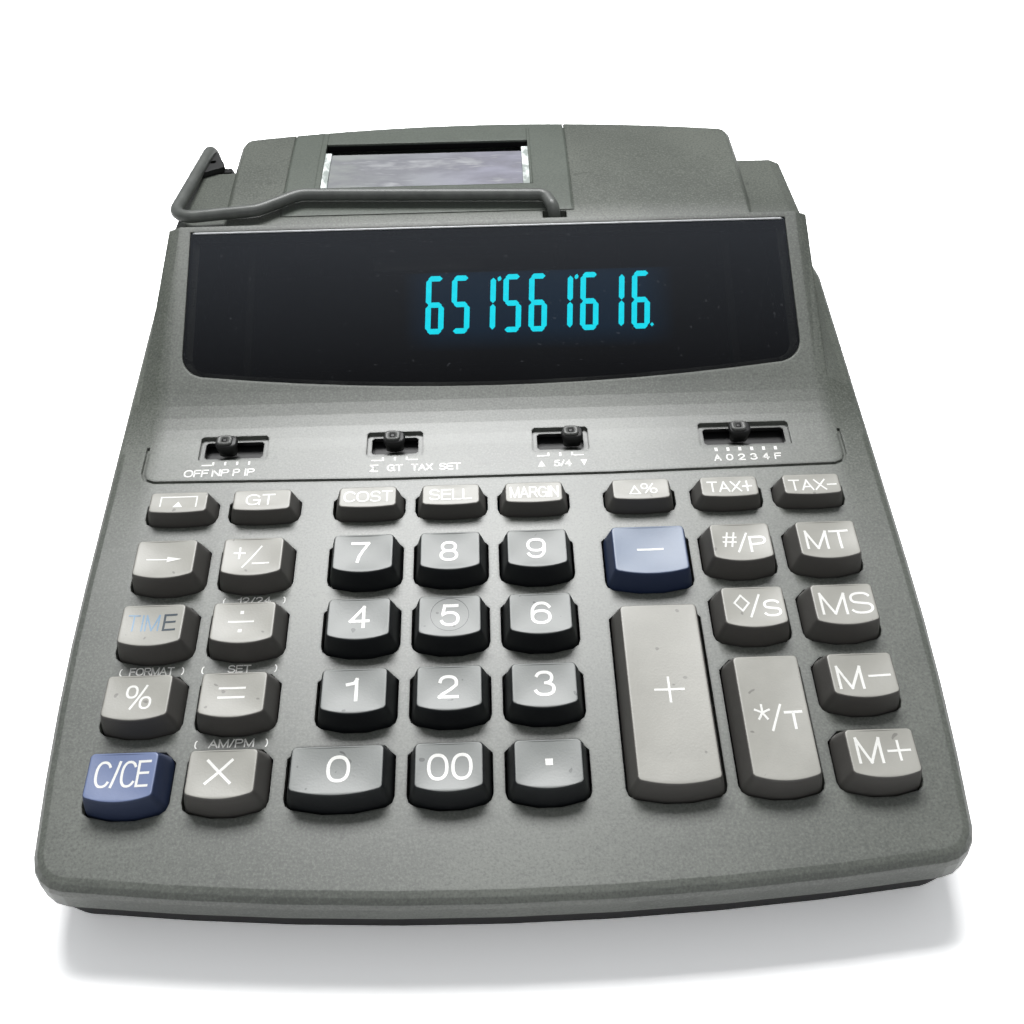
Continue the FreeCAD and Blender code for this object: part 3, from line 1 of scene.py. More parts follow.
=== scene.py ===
"""The looks of a desktop printing calculator: sculpted keys, legends, glowing digits, wire bail and finishes."""

import math

import bmesh
import bpy
import numpy as np
from mathutils import Matrix, Vector


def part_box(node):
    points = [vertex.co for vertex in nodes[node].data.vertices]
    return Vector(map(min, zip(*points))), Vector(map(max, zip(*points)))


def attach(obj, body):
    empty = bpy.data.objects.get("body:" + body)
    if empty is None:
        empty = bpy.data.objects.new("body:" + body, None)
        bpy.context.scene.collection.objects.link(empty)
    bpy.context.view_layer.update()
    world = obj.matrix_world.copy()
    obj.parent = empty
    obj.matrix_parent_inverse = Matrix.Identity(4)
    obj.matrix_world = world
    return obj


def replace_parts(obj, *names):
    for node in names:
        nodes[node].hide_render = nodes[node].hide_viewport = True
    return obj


MM = 0.001
PANEL_ANGLE = math.radians(7.5)
PANEL_Y = -107.1  # where the key panel starts, at the front
PANEL_Z = 21.0
SLOPE_ANGLE = math.radians(27.5)  # of the display's slope
BEND_RADIUS = 50.0  # between the panel and that slope
BEND_AXIS_Y = -18.57
BEND_FRONT, BEND_REAR = -12.3, 4.5
TUBE_ANGLE = math.radians(40.0)  # how far the display tube leans back
TUBE_MIDDLE = (0.0, 28.28, 43.7)
HUMP_ANGLE = math.radians(8.0)  # of the printer hump where it starts
HUMP_Y = 48.4
HUMP_Z = 59.5
HUMP_RUN = 46.0  # over which its slope dies out
COLUMNS = (-75.1, -55.4, -30.4, -10.7, 9.0, 34.5, 55.5, 75.2)  # middles of the keys
ROWS = (0.0, 17.4, 34.8, 52.2, 72.1)  # fronts of their wells, up the panel
KEY_GAP = 0.4  # between a cap and its well
KEY_SKIRT = 1.5  # how far a cap reaches under the panel
KEY_DRAW = 1.5  # how far its flanks are drawn in at the top
KEY_EDGE = 0.42  # radius of its top edge

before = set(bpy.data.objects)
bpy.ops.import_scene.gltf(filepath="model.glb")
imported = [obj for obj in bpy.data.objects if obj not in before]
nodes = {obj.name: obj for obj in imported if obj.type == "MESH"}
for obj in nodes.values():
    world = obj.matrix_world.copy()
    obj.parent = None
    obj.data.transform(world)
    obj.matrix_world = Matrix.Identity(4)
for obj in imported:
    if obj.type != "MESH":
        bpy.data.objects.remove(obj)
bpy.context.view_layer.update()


# Shader expressions


BLACK = (0.0, 0.0, 0.0, 1.0)
WHITE = (1.0, 1.0, 1.0, 1.0)


def linear(colour):
    """Three screen values, 0 to 255, as the light they stand for; any other colour or socket as it is."""
    if not isinstance(colour, tuple) or len(colour) > 3:
        return colour
    parts = np.array(colour) / 255.0
    light = np.where(parts <= 0.04045, parts / 12.92, ((parts + 0.055) / 1.055) ** 2.4)
    return (*[float(part) for part in light], 1.0)


def brighter(colour, share):
    """A colour with that share of its light."""
    return tuple(min(1.0, share * part) for part in linear(colour)[:3]) + (1.0,)


def joining(operation, swapped=False):
    """A method that joins a wave with another value by one Math node."""

    def method(self, other):
        return self.joined(operation, other, self) if swapped else self.joined(operation, self, other)

    return method


class Wave:
    """A value that varies over a surface. Arithmetic on it adds Math nodes to its tree."""

    def __init__(self, tree, socket):
        self.tree = tree
        self.socket = socket

    def joined(self, operation, *values):
        node = self.tree.add("ShaderNodeMath", {"operation": operation}, dict(enumerate(values)))
        return Wave(self.tree, node.outputs[0])

    __add__ = joining("ADD")
    __radd__ = joining("ADD", swapped=True)
    __sub__ = joining("SUBTRACT")
    __rsub__ = joining("SUBTRACT", swapped=True)
    __mul__ = joining("MULTIPLY")
    __rmul__ = joining("MULTIPLY", swapped=True)
    __truediv__ = joining("DIVIDE")
    __pow__ = joining("POWER")
    minimum = joining("MINIMUM")
    maximum = joining("MAXIMUM")

    def absolute(self):
        return self.joined("ABSOLUTE", self)

    def clamped(self):
        return self.maximum(0.0).minimum(1.0)

    def ramp(self, low, high):
        """0 up to low, 1 from high on, and straight between."""
        return ((self - low) / (high - low)).clamped()

    def within(self, low, high, soft):
        """1 between low and high and 0 outside, each border being soft wide."""
        return self.ramp(low, low + soft) * (1.0 - self.ramp(high, high + soft))


class Tree:
    """The nodes of a material or a world, each made from its type, its settings and the values of its inputs."""

    def __init__(self, owner):
        owner.use_nodes = True
        self.nodes = owner.node_tree.nodes
        self.links = owner.node_tree.links
        self.nodes.clear()

    def add(self, kind, settings=None, values=None):
        node = self.nodes.new(kind)
        for name, value in (settings or {}).items():
            setattr(node, name, value)
        for name, value in (values or {}).items():
            self.feed(node.inputs[name], value)
        return node

    def feed(self, socket, value):
        if isinstance(value, Wave):
            value = value.socket
        if isinstance(value, bpy.types.NodeSocket):
            self.links.new(value, socket)
        else:
            socket.default_value = value

    def closure(self, kind, *values):
        """A closure by the end of its type's name, with the values of its first inputs in order."""
        return self.add("ShaderNode" + kind, None, dict(enumerate(values))).outputs[0]


class Finish(Tree):
    """One procedural material around a Principled shader."""

    def __init__(self, name):
        self.material = bpy.data.materials.new(name)
        super().__init__(self.material)
        self.principled = self.add("ShaderNodeBsdfPrincipled")
        self.add("ShaderNodeOutputMaterial", None, {0: self.principled.outputs[0]})
        self.place = self.add("ShaderNodeTexCoord").outputs["Object"]

    def set(self, shade, roughness, **others):
        """Feeds the shader and returns the material; other inputs are named with underscores for spaces."""
        for name, value in {"Base Color": shade, "Roughness": roughness, **others}.items():
            self.feed(self.principled.inputs[name.replace("_", " ")], value)
        return self.material

    def noise(self, scale, detail=2.0, stretch=None):
        """Fractal noise; scale is in features per metre."""
        vector = self.place
        if stretch:
            vector = self.add("ShaderNodeMapping", None, {"Vector": vector, "Scale": stretch}).outputs[0]
        values = {"Vector": vector, "Scale": scale, "Detail": detail, "Roughness": 0.55}
        return Wave(self, self.add("ShaderNodeTexNoise", {"noise_dimensions": "3D"}, values).outputs[0])

    def part(self, axis):
        """One object coordinate, in millimetres."""
        node = self.add("ShaderNodeSeparateXYZ", None, {"Vector": self.place})
        return Wave(self, node.outputs["XYZ".index(axis)]) / MM

    def mixed(self, factor, low, high):
        """One colour turning into another by a factor. Inputs 6 and 7 are the node's two colours."""
        values = {"Factor": factor, 6: linear(low), 7: linear(high)}
        return self.add("ShaderNodeMix", {"data_type": "RGBA"}, values).outputs[2]

    def relief(self, height, depth, strength=1.0, soften=0.0, mend=None):
        """Gives the finish a surface relief and returns its material.

        soften rounds the shading of sharp edges over that radius, and mend(finish, normal) works on the result.
        """
        values = {"Height": height, "Distance": depth, "Strength": strength}
        if soften:
            values["Normal"] = self.add("ShaderNodeBevel", {"samples": 6}, {"Radius": soften}).outputs[0]
        if mend:
            values["Normal"] = mend(self, values["Normal"])
        self.feed(self.principled.inputs["Normal"], self.add("ShaderNodeBump", None, values).outputs[0])
        return self.material


def true_arc(finish, normal):
    """Shades the facets of the bend between key panel and display slope as the one arc they stand for.

    On an arc the sine of the lean grows evenly with Y. A normal unlike the arc's, as on a slot's wall, stays.
    Near the panel's sides, where the mesh has long thin triangles, the likeness is judged less strictly.
    """
    along = finish.part("Y")
    across = finish.part("X").absolute()
    lean = ((along - BEND_AXIS_Y) / BEND_RADIUS).maximum(math.sin(PANEL_ANGLE)).minimum(math.sin(SLOPE_ANGLE))
    rise = (1.0 - lean * lean) ** 0.5
    arc = finish.add("ShaderNodeCombineXYZ", None, {"X": 0.0, "Y": lean * -1.0, "Z": rise}).outputs[0]
    cosine = finish.add("ShaderNodeVectorMath", {"operation": "DOT_PRODUCT"}, {0: arc, 1: normal}).outputs["Value"]
    leniency = across.ramp(80.0, 82.0) * (1.0 - across.ramp(90.5, 91.5)) * 0.35
    alike = (Wave(finish, cosine) + leniency).ramp(0.86, 0.93)
    values = {"Factor": along.within(BEND_FRONT, BEND_REAR, 0.3) * alike, 4: normal, 5: arc}
    return finish.add("ShaderNodeMix", {"data_type": "VECTOR"}, values).outputs[1]


def moulded(name, dark, light, soften, roughness=0.38, grain=1.0, painted_shade_recess=None, gloss=1.0, mend=None):
    """Moulded plastic: sparkling fine grain, faint blotches, sparse dust and a clear coat where hands rub it glossy.

    A painted_shade_recess is (low y, high y, depth): between those places, where depth(finish) is under 0, the
    plastic is painted black, as painted shade on the walls down in the slots. The coat ends behind the display and,
    beside the display's slope, at the panel's sides.
    """
    finish = Finish(name)
    across = finish.part("X").absolute()
    along = finish.part("Y")
    blotch = finish.noise(28.0, 4.0)
    speck = finish.noise(1900.0, 1.0)
    grit = finish.noise(3600.0, 1.0)
    dust = finish.noise(300.0, 0.0).ramp(0.8, 0.83)
    shade = finish.mixed(blotch.ramp(0.35, 0.68), dark, light)
    shade = finish.mixed((speck.ramp(0.52, 0.7) * 0.55 * grain).clamped(), shade, brighter(light, 1.35))
    shade = finish.mixed(((1.0 - speck.ramp(0.32, 0.46)) * 0.6 * grain).clamped(), shade, brighter(dark, 0.7))
    shade = finish.mixed(dust * 0.4, shade, brighter(dark, 0.5))
    # Painted shade: below the given depth, the walls of the slots and openings are painted near-black for the shade
    # down in them.
    if painted_shade_recess:
        low, high, height = painted_shade_recess
        painted_shade_mask = along.within(low, high, 0.05) * (1.0 - across.ramp(84.0, 84.1))
        shade = finish.mixed(painted_shade_mask * (1.0 - height(finish).ramp(0.0, 0.3)), shade, (16, 16, 17))
    behind = along.ramp(47.0, 58.0)
    beside = across.ramp(83.0, 87.0) * along.ramp(-45.0, -8.0)
    coat = {"Coat Weight": (1.0 - behind) * (1.0 - beside) * gloss, "Coat Roughness": 0.42, "Coat IOR": 1.66}
    finish.set(shade, roughness + speck * 0.08 * grain, Specular_IOR_Level=0.3, **coat)
    return finish.relief(speck * 0.6 + grit * 0.4, 0.00006 * grain, 0.7, soften, mend)


# Places the painted shade in the switch slots.
def over_slots(finish):
    """Height above a plane parallel to the key panel, 1 mm under it."""
    rise = (finish.part("Z") - PANEL_Z) * math.cos(PANEL_ANGLE)
    return rise - (finish.part("Y") - PANEL_Y) * math.sin(PANEL_ANGLE) + 1.0


# Places the painted shade in the paper exit slot.
def over_exit(finish):
    """Height above the slot that the paper comes out of."""
    return finish.part("Z") - 62.0


def plain(name, colour, roughness, metallic=0.0, soften=0.0004, stretch=None, scale=700.0):
    """A plain finish with a little mottling and fine relief."""
    finish = Finish(name)
    mottle = finish.noise(scale, 2.0, stretch)
    shade = finish.mixed(mottle.ramp(0.3, 0.7), brighter(colour, 0.82), colour)
    finish.set(shade, roughness + mottle * 0.08, Metallic=metallic)
    return finish.relief(mottle, 0.00003, 0.4, soften)


def key_plastic(name, top, side, rough=0.34):
    """Key plastic: grained dark flanks, and an upward-facing top painted paler as a painted sheen."""
    finish = Finish(name)
    normal = finish.add("ShaderNodeNewGeometry").outputs["Normal"]
    upward = finish.add("ShaderNodeSeparateXYZ", None, {"Vector": normal}).outputs["Z"]
    # Painted sheen: faces that point up take the paler top colour for the sheen of light on the tops, and are smoother.
    up_facing_painted_sheen = Wave(finish, upward).ramp(0.8, 0.965)
    blotch = finish.noise(150.0, 3.0)
    grain = finish.noise(2200.0, 1.0)
    painted_sheen_colour = finish.mixed(blotch.ramp(0.35, 0.7) * 0.6, top, brighter(top, 1.16))
    dust = finish.noise(560.0, 0.0).ramp(0.81, 0.83)
    shade = finish.mixed(dust * 0.5, finish.mixed(up_facing_painted_sheen, side, painted_sheen_colour), side)
    finish.set(shade, rough + (1.0 - up_facing_painted_sheen) * 0.14 + blotch * 0.06, Specular_IOR_Level=0.55)
    return finish.relief(grain, 0.00005, 0.35)


def ink(name, colour, wear=0.25):
    """Printed ink, thin and a little worn, with the gloss of the plastic under it."""
    finish = Finish(name)
    worn = finish.noise(1100.0, 2.0).ramp(0.6, 0.72) * wear
    shade = finish.mixed(worn, colour, brighter(colour, 0.6))
    return finish.set(shade, 0.36, Specular_IOR_Level=0.6)


def smoked_lens():
    """Smoked acrylic: nearly black, paler towards its upper edge, with a little dust."""
    finish = Finish("smoked_lens")
    haze = finish.noise(35.0, 3.0)
    dust = finish.noise(900.0, 0.0).ramp(0.81, 0.84)
    height = finish.part("Z").ramp(38.0, 60.0)
    shade = finish.mixed((height * 0.92 + haze * 0.08).clamped(), (9, 9, 11), (50, 53, 58))
    shade = finish.mixed(dust * 0.25, shade, (100, 102, 106))
    return finish.set(shade, 0.12 + haze * 0.04, Alpha=0.72, Specular_IOR_Level=0.2)


def digit_glow():
    """Blue-green light, a little uneven."""
    finish = Finish("digit_glow")
    colour = (0, 226, 248)
    lit = finish.mixed(finish.noise(600.0, 1.0).ramp(0.3, 0.7), colour, brighter(colour, 1.1))
    return finish.set(BLACK, 0.5, Emission_Color=lit, Emission_Strength=11.0)


def tube_glass():
    """Dark glass with a faint glow painted round the lit digits, as emission of the glass itself."""
    finish = Finish("tube_glass")
    across = (finish.part("X") - 13.2).absolute().ramp(28.0, 37.0)
    up = (finish.part("Z") - 46.2).absolute().ramp(4.6, 8.5)
    outward = finish.part("Z") * math.cos(TUBE_ANGLE) - finish.part("Y") * math.sin(TUBE_ANGLE)
    # Painted light: the glass emits a faint blue glow round the digits, standing for the digits' light in it.
    painted_halo_mask = (1.0 - across) * (1.0 - up) * outward.ramp(14.9, 15.2)
    shade = finish.mixed(finish.noise(300.0, 1.0), (12, 13, 15), (20, 21, 24))
    glow = finish.mixed(painted_halo_mask, BLACK, (6, 54, 84))
    return finish.set(shade, 0.35, Specular_IOR_Level=0.1, Emission_Color=glow, Emission_Strength=3.0)


def clouded_window():
    """Clear plastic gone cloudy: mottled grey at the left, faintly lilac at the right, scuffed all over."""
    finish = Finish("clouded_window")
    cloud = finish.noise(85.0, 4.0, (0.6, 1.5, 1.0))
    scuff = finish.noise(420.0, 2.0, (0.25, 2.0, 1.0))
    drift = finish.part("X").ramp(-40.0, 0.0)
    shade = finish.mixed(drift, (150, 154, 152), (150, 150, 164))
    shade = finish.mixed(cloud.ramp(0.4, 0.62) * 0.8, shade, (116, 116, 124))
    shade = finish.mixed(cloud.ramp(0.58, 0.72) * 0.7, shade, (196, 198, 200))
    shade = finish.mixed(scuff.ramp(0.62, 0.75) * 0.35, shade, (206, 208, 210))
    finish.set(shade, 0.3 + cloud * 0.1, Alpha=0.95)
    return finish.relief(cloud, 0.0005, 0.4, 0.0003)


def window_end():
    """The ends of the clear plate, painted white as the light that gathers in them, with grey scratches."""
    finish = Finish("window_end")
    streak = finish.noise(330.0, 3.0, (1.0, 0.6, 1.0))
    # Painted light: the ends are painted near-white for the light gathered in the clear plastic.
    shade = finish.mixed(streak.ramp(0.42, 0.56), (168, 176, 172), (240, 246, 244))
    finish.set(shade, 0.2)
    return finish.relief(streak, 0.0003, 0.4)


def enamel():
    """Grey enamel on the bail; its leg behind the bend, down in the bracket, is painted black as painted shade."""
    finish = Finish("bail_enamel")
    mottle = finish.noise(300.0, 3.0)
    shade = finish.mixed(mottle.ramp(0.3, 0.7), (84, 87, 84), (98, 101, 98))
    # Painted shade: the leg below the bend is painted near-black for the shade it stands in.
    leg = finish.part("Y").ramp(91.0, 92.5) * (1.0 - finish.part("Z").ramp(58.6, 60.4))
    shade = finish.mixed(leg, shade, (20, 20, 22))
    finish.set(shade, 0.36 + mottle * 0.08)
    return finish.relief(mottle, 0.00004, 0.4)


def slot_floor():
    """The switch bodies seen through their slots: pale in front of the knob, painted black behind it as painted shade.
    """
    finish = Finish("slot_floor")
    mottle = finish.noise(1400.0, 2.0)
    # Painted shade: behind the knob the floor of each slot is painted black.
    behind = finish.part("Y").ramp(-12.1, -11.9)
    front = finish.mixed(mottle.ramp(0.35, 0.65), (112, 113, 110), (150, 151, 147))
    return finish.set(finish.mixed(behind, front, (15, 15, 16)), 0.5)


# Where the case and the cover are painted near-black as painted shade: down in the switch slots and the paper exit
# slot.
CASE_PAINTED_SHADE = (-16.6, -6.4, over_slots)
COVER_PAINTED_SHADE = (84.0, 94.0, over_exit)
CASE = moulded("case_grey", (84, 88, 82), (101, 105, 98), 0.001, painted_shade_recess=CASE_PAINTED_SHADE, mend=true_arc)
COVER = moulded("cover_grey", (86, 92, 85), (97, 103, 96), 0.0006, 0.4, 0.6, COVER_PAINTED_SHADE)
BASE = moulded("base_black", (16, 16, 17), (24, 24, 25), 0.0006, 0.5, gloss=0.0)
# Key colours are (top, flanks): each top is painted paler than its flanks as a painted sheen.
GREY_KEY = key_plastic("key_grey", (166, 165, 158), (92, 90, 87))
DARK_KEY = key_plastic("key_charcoal", (136, 139, 137), (26, 29, 32), 0.36)
BLUE_KEY = key_plastic("key_blue", (116, 130, 166), (48, 60, 90))
PALE_BLUE_KEY = key_plastic("key_pale_blue", (132, 144, 164), (46, 60, 92), 0.36)
KNOB = plain("knob_black", (20, 20, 21), 0.42)
WHITE_INK = ink("legend_white", (244, 244, 240))
PANEL_INK = ink("panel_white", (246, 246, 242), 0.3)
FADED_INK = ink("legend_faded", (128, 160, 188), 0.85)
DARK_INK = ink("legend_dark", (62, 74, 84))
# Painted shade: the ring round the 5 is a dark stroke standing for the shade in an engraved groove.
GROOVE_PAINTED_SHADE = ink("ring_groove_painted_shade", (74, 76, 78), 0.2)


# Surfaces


def linked(name, data):
    """An object of the scene with that data."""
    thing = bpy.data.objects.new(name, data)
    bpy.context.scene.collection.objects.link(thing)
    return thing


def circle(steps):
    """Points round a unit circle."""
    turn = np.linspace(0, 2 * np.pi, steps, endpoint=False)
    return np.stack([np.cos(turn), np.sin(turn)], 1)


def directions(path):
    """Unit vectors from each point of a path to the next."""
    way = np.diff(path, axis=0)
    return way / np.linalg.norm(way, axis=1)[:, None]


def grid_faces(rows, columns):
    """Quads of a grid that closes on itself along its columns."""
    i, j = np.meshgrid(np.arange(rows - 1), np.arange(columns), indexing="ij")
    k = (j + 1) % columns
    return np.stack([i * columns + j, i * columns + k, (i + 1) * columns + k, (i + 1) * columns + j], -1).reshape(-1, 4)


def piece(name, points, faces, material, body, smooth=True):
    """A mesh piece that rides on a body; points are in millimetres."""
    mesh = bpy.data.meshes.new(name)
    mesh.from_pydata((np.asarray(points, float) * MM).tolist(), [], [list(map(int, face)) for face in faces])
    mesh.update()
    if smooth:
        mesh.polygons.foreach_set("use_smooth", [True] * len(mesh.polygons))
    mesh.materials.append(material)
    thing = linked(name, mesh)
    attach(thing, body)
    return thing


def turned_faces(thing, upward=False):
    """Turns every face of a closed piece outwards, or every face of flat signs upwards."""
    made = bmesh.new()
    made.from_mesh(thing.data)
    if upward:
        made.normal_update()
        bmesh.ops.reverse_faces(made, faces=[face for face in made.faces if face.normal.z < 0])
    else:
        bmesh.ops.recalc_face_normals(made, faces=made.faces)
    made.to_mesh(thing.data)
    made.free()
    return thing


def closed_grid(name, points, material, body, smooth=True):
    """A piece from rings of points, with both end rings closed by one face each."""
    rows, columns, _ = points.shape
    ends = [range(columns)[::-1], range((rows - 1) * columns, rows * columns)]
    faces = [*grid_faces(rows, columns), *ends]
    return turned_faces(piece(name, points.reshape(-1, 3), faces, material, body, smooth))


def ring_piece(name, rings, material, body):
    """A flat-shaded piece from rings of which the last is the first again."""
    rows, columns, _ = np.shape(rings)
    points = np.array(rings).reshape(-1, 3)
    return piece(name, points, grid_faces(rows, columns), material, body, smooth=False)


def on_panel(x, v, w):
    """Panel coordinates (across, up the slope, square to it) as places in the frame."""
    y = PANEL_Y + v * math.cos(PANEL_ANGLE) - w * math.sin(PANEL_ANGLE)
    z = PANEL_Z + v * math.sin(PANEL_ANGLE) + w * math.cos(PANEL_ANGLE)
    return np.stack(np.broadcast_arrays(x, y, z), -1)


def bowed_ring(half, front, rear, radius, lean):
    """Rounded rectangles with a bowed front; each argument but lean is an array over the rings.

    The front arc turns through lean at its corners, which gives it the radius called bow.
    """
    half, front, rear, radius = (np.asarray(value, float)[:, None] for value in (half, front, rear, radius))
    bow = (half - radius * (1 - math.sin(lean))) / math.sin(lean)
    low = front + bow - (bow - radius) * math.cos(lean)
    high = rear - radius
    side = half - radius
    quarter = math.pi / 2

    def arc(centre_x, centre_v, r, start, end, steps):
        turn = np.linspace(start, end, steps)[None, :]
        return centre_x + r * np.sin(turn), centre_v - r * np.cos(turn)

    def straight(a, b, steps):
        share = np.linspace(0.0, 1.0, steps + 2)[None, 1:-1]
        return [start[:, -1:] + share * (end[:, :1] - start[:, -1:]) for start, end in zip(a, b)]

    front_arc = [value[:, :-1] for value in arc(0.0, front + bow, bow, -lean, lean, 19)]
    right = arc(side, low, radius, lean, quarter, 7)
    rear_right = arc(side, high, radius, quarter, 2 * quarter, 8)
    rear_left = arc(-side, high, radius, 2 * quarter, 3 * quarter, 8)
    left = [value[:, :-1] for value in arc(-side, low, radius, 3 * quarter, 4 * quarter - lean, 7)]
    parts = [front_arc, right, straight(right, rear_right, 8), rear_right, straight(rear_right, rear_left, 10)]
    parts += [rear_left, straight(rear_left, left, 8), left]
    return [np.concatenate(values, 1) for values in zip(*parts)]


class Key:
    """A key cap in its well; draw says how far its top is drawn in at the front and at the rear."""

    def __init__(self, name, x, v, material, width=17.4, depth=14.6, lean=20.0, height=5.7, dish=0.42, draw=(1.2, 2.1)):
        self.name, self.material = name, material
        self.x, self.v = x, v
        self.width, self.depth, self.height = width, depth, height
        self.lean, self.dish, self.draw = math.radians(lean), dish, draw
        self.mid = v + (depth + draw[0] - draw[1]) / 2 + 0.5

    def top(self, x, v):
        """Height of the top: a shallow dish, deepest in the middle and nothing at the edges."""
        across = (x - self.x) / (self.width / 2 - 2.3)
        along = (v - self.mid) / (self.depth / 2 - 2.2)
        bowl = np.clip(1 - across ** 2, 0, 1) * np.clip(1 - along ** 2, 0, 1)
        return self.height - self.dish * bowl

    def cap(self):
        """Rings up a slightly hollow flank, over a tight edge and in across the dished top.

        share runs from the skirt's outline, 0, to the sharp outline of the top, 1. inset moves a ring inward
        from there, and shrink draws the last rings towards the middle of the top.
        """
        flank_end = 0.96
        flank = np.linspace(0.0, flank_end, 9)
        turn = np.linspace(0.0, 1.0, 7)[1:]
        eased = 1 - (1 - turn) ** 2
        inward = np.array([0.97, 0.9, 0.8, 0.68, 0.54, 0.4, 0.26, 0.13, 0.04])
        level = np.ones(len(inward))
        edge_w = self.height - KEY_EDGE
        share = np.concatenate([flank - 0.06 * np.sin(np.pi * flank), flank_end + (1 - flank_end) * eased, level])
        inset = np.concatenate([flank * 0, KEY_EDGE * turn ** 2, KEY_EDGE * level])
        rising = flank / flank_end * (edge_w + KEY_SKIRT) - KEY_SKIRT
        w = np.concatenate([rising, edge_w + KEY_EDGE * eased, self.height * level])
        shrink = np.concatenate([np.ones(len(flank) + len(turn)), inward])
        half = self.width / 2 - KEY_GAP - KEY_DRAW * share - inset
        front = KEY_GAP + self.draw[0] * share + inset
        rear = self.depth - KEY_GAP - self.draw[1] * share - inset
        radius = 2.0 - share - 0.4 * inset / KEY_EDGE
        x, v = bowed_ring(half, front, rear, radius, self.lean)
        x = self.x + x * shrink[:, None]
        v = self.mid + (self.v + v - self.mid) * shrink[:, None]
        on_top = (inset >= KEY_EDGE)[:, None]
        height = np.where(on_top, self.top(x, v), w[:, None])
        return closed_grid(self.name + "_cap", on_panel(x, v, height), self.material, self.name)


def oval(x, y, wide, high, start=0.0, end=360.0, square=2.35):
    """Points round a slightly squared oval, from one angle to another: sine and cosine to the power 2 / square."""
    turn = np.radians(np.linspace(start, end, max(5, int(abs(end - start) / 12))))
    power = 2 / square
    across = np.sign(np.cos(turn)) * np.abs(np.cos(turn)) ** power
    up = np.sign(np.sin(turn)) * np.abs(np.sin(turn)) ** power
    return np.stack([x + wide * across, y + high * up], 1)


def run(*parts):
    """A stroke of straight lines through points and other strokes."""
    return np.vstack(parts).astype(float)


def chain(*points):
    """Straight strokes from each point to the next, each with its own square ends."""
    return [run(start, end) for start, end in zip(points, points[1:])]


STEM = run((0, 0), (0, 1))
OVER = run((0, 1), (1, 1))
UNDER = run((0, 0), (1, 0))
ROUND = oval(0.5, 0.5, 0.5, 0.5)
BOWL = run((0, 1), oval(0.6, 0.76, 0.37, 0.24, 90, -90), (0, 0.52))
SIX = [run(oval(0.53, 0.5, 0.53, 0.5, 35, 180), (0, 0.31)), oval(0.5, 0.31, 0.5, 0.31)]
NINE = [1.0 - stroke for stroke in SIX]
TWO = run(oval(0.49, 0.71, 0.47, 0.29, 172, -22), (0.62, 0.38), (0.12, 0.12), (0, 0))
THREE = run(oval(0.47, 0.765, 0.42, 0.235, 160, -90), oval(0.48, 0.265, 0.5, 0.265, 90, -162))
FIVE = run((0.2, 1), (0.07, 0.5), oval(0.49, 0.325, 0.49, 0.325, 140, -158))
LETTER_S = run(oval(0.5, 0.755, 0.45, 0.245, 22, 228), oval(0.5, 0.25, 0.5, 0.25, 48, -158))
HUB = (0.5, 0.45)  # where the arms of the asterisk meet
GRID_BARS = ((0.05, 0.68), (0.0, 0.32))  # where the level bars of the number sign start
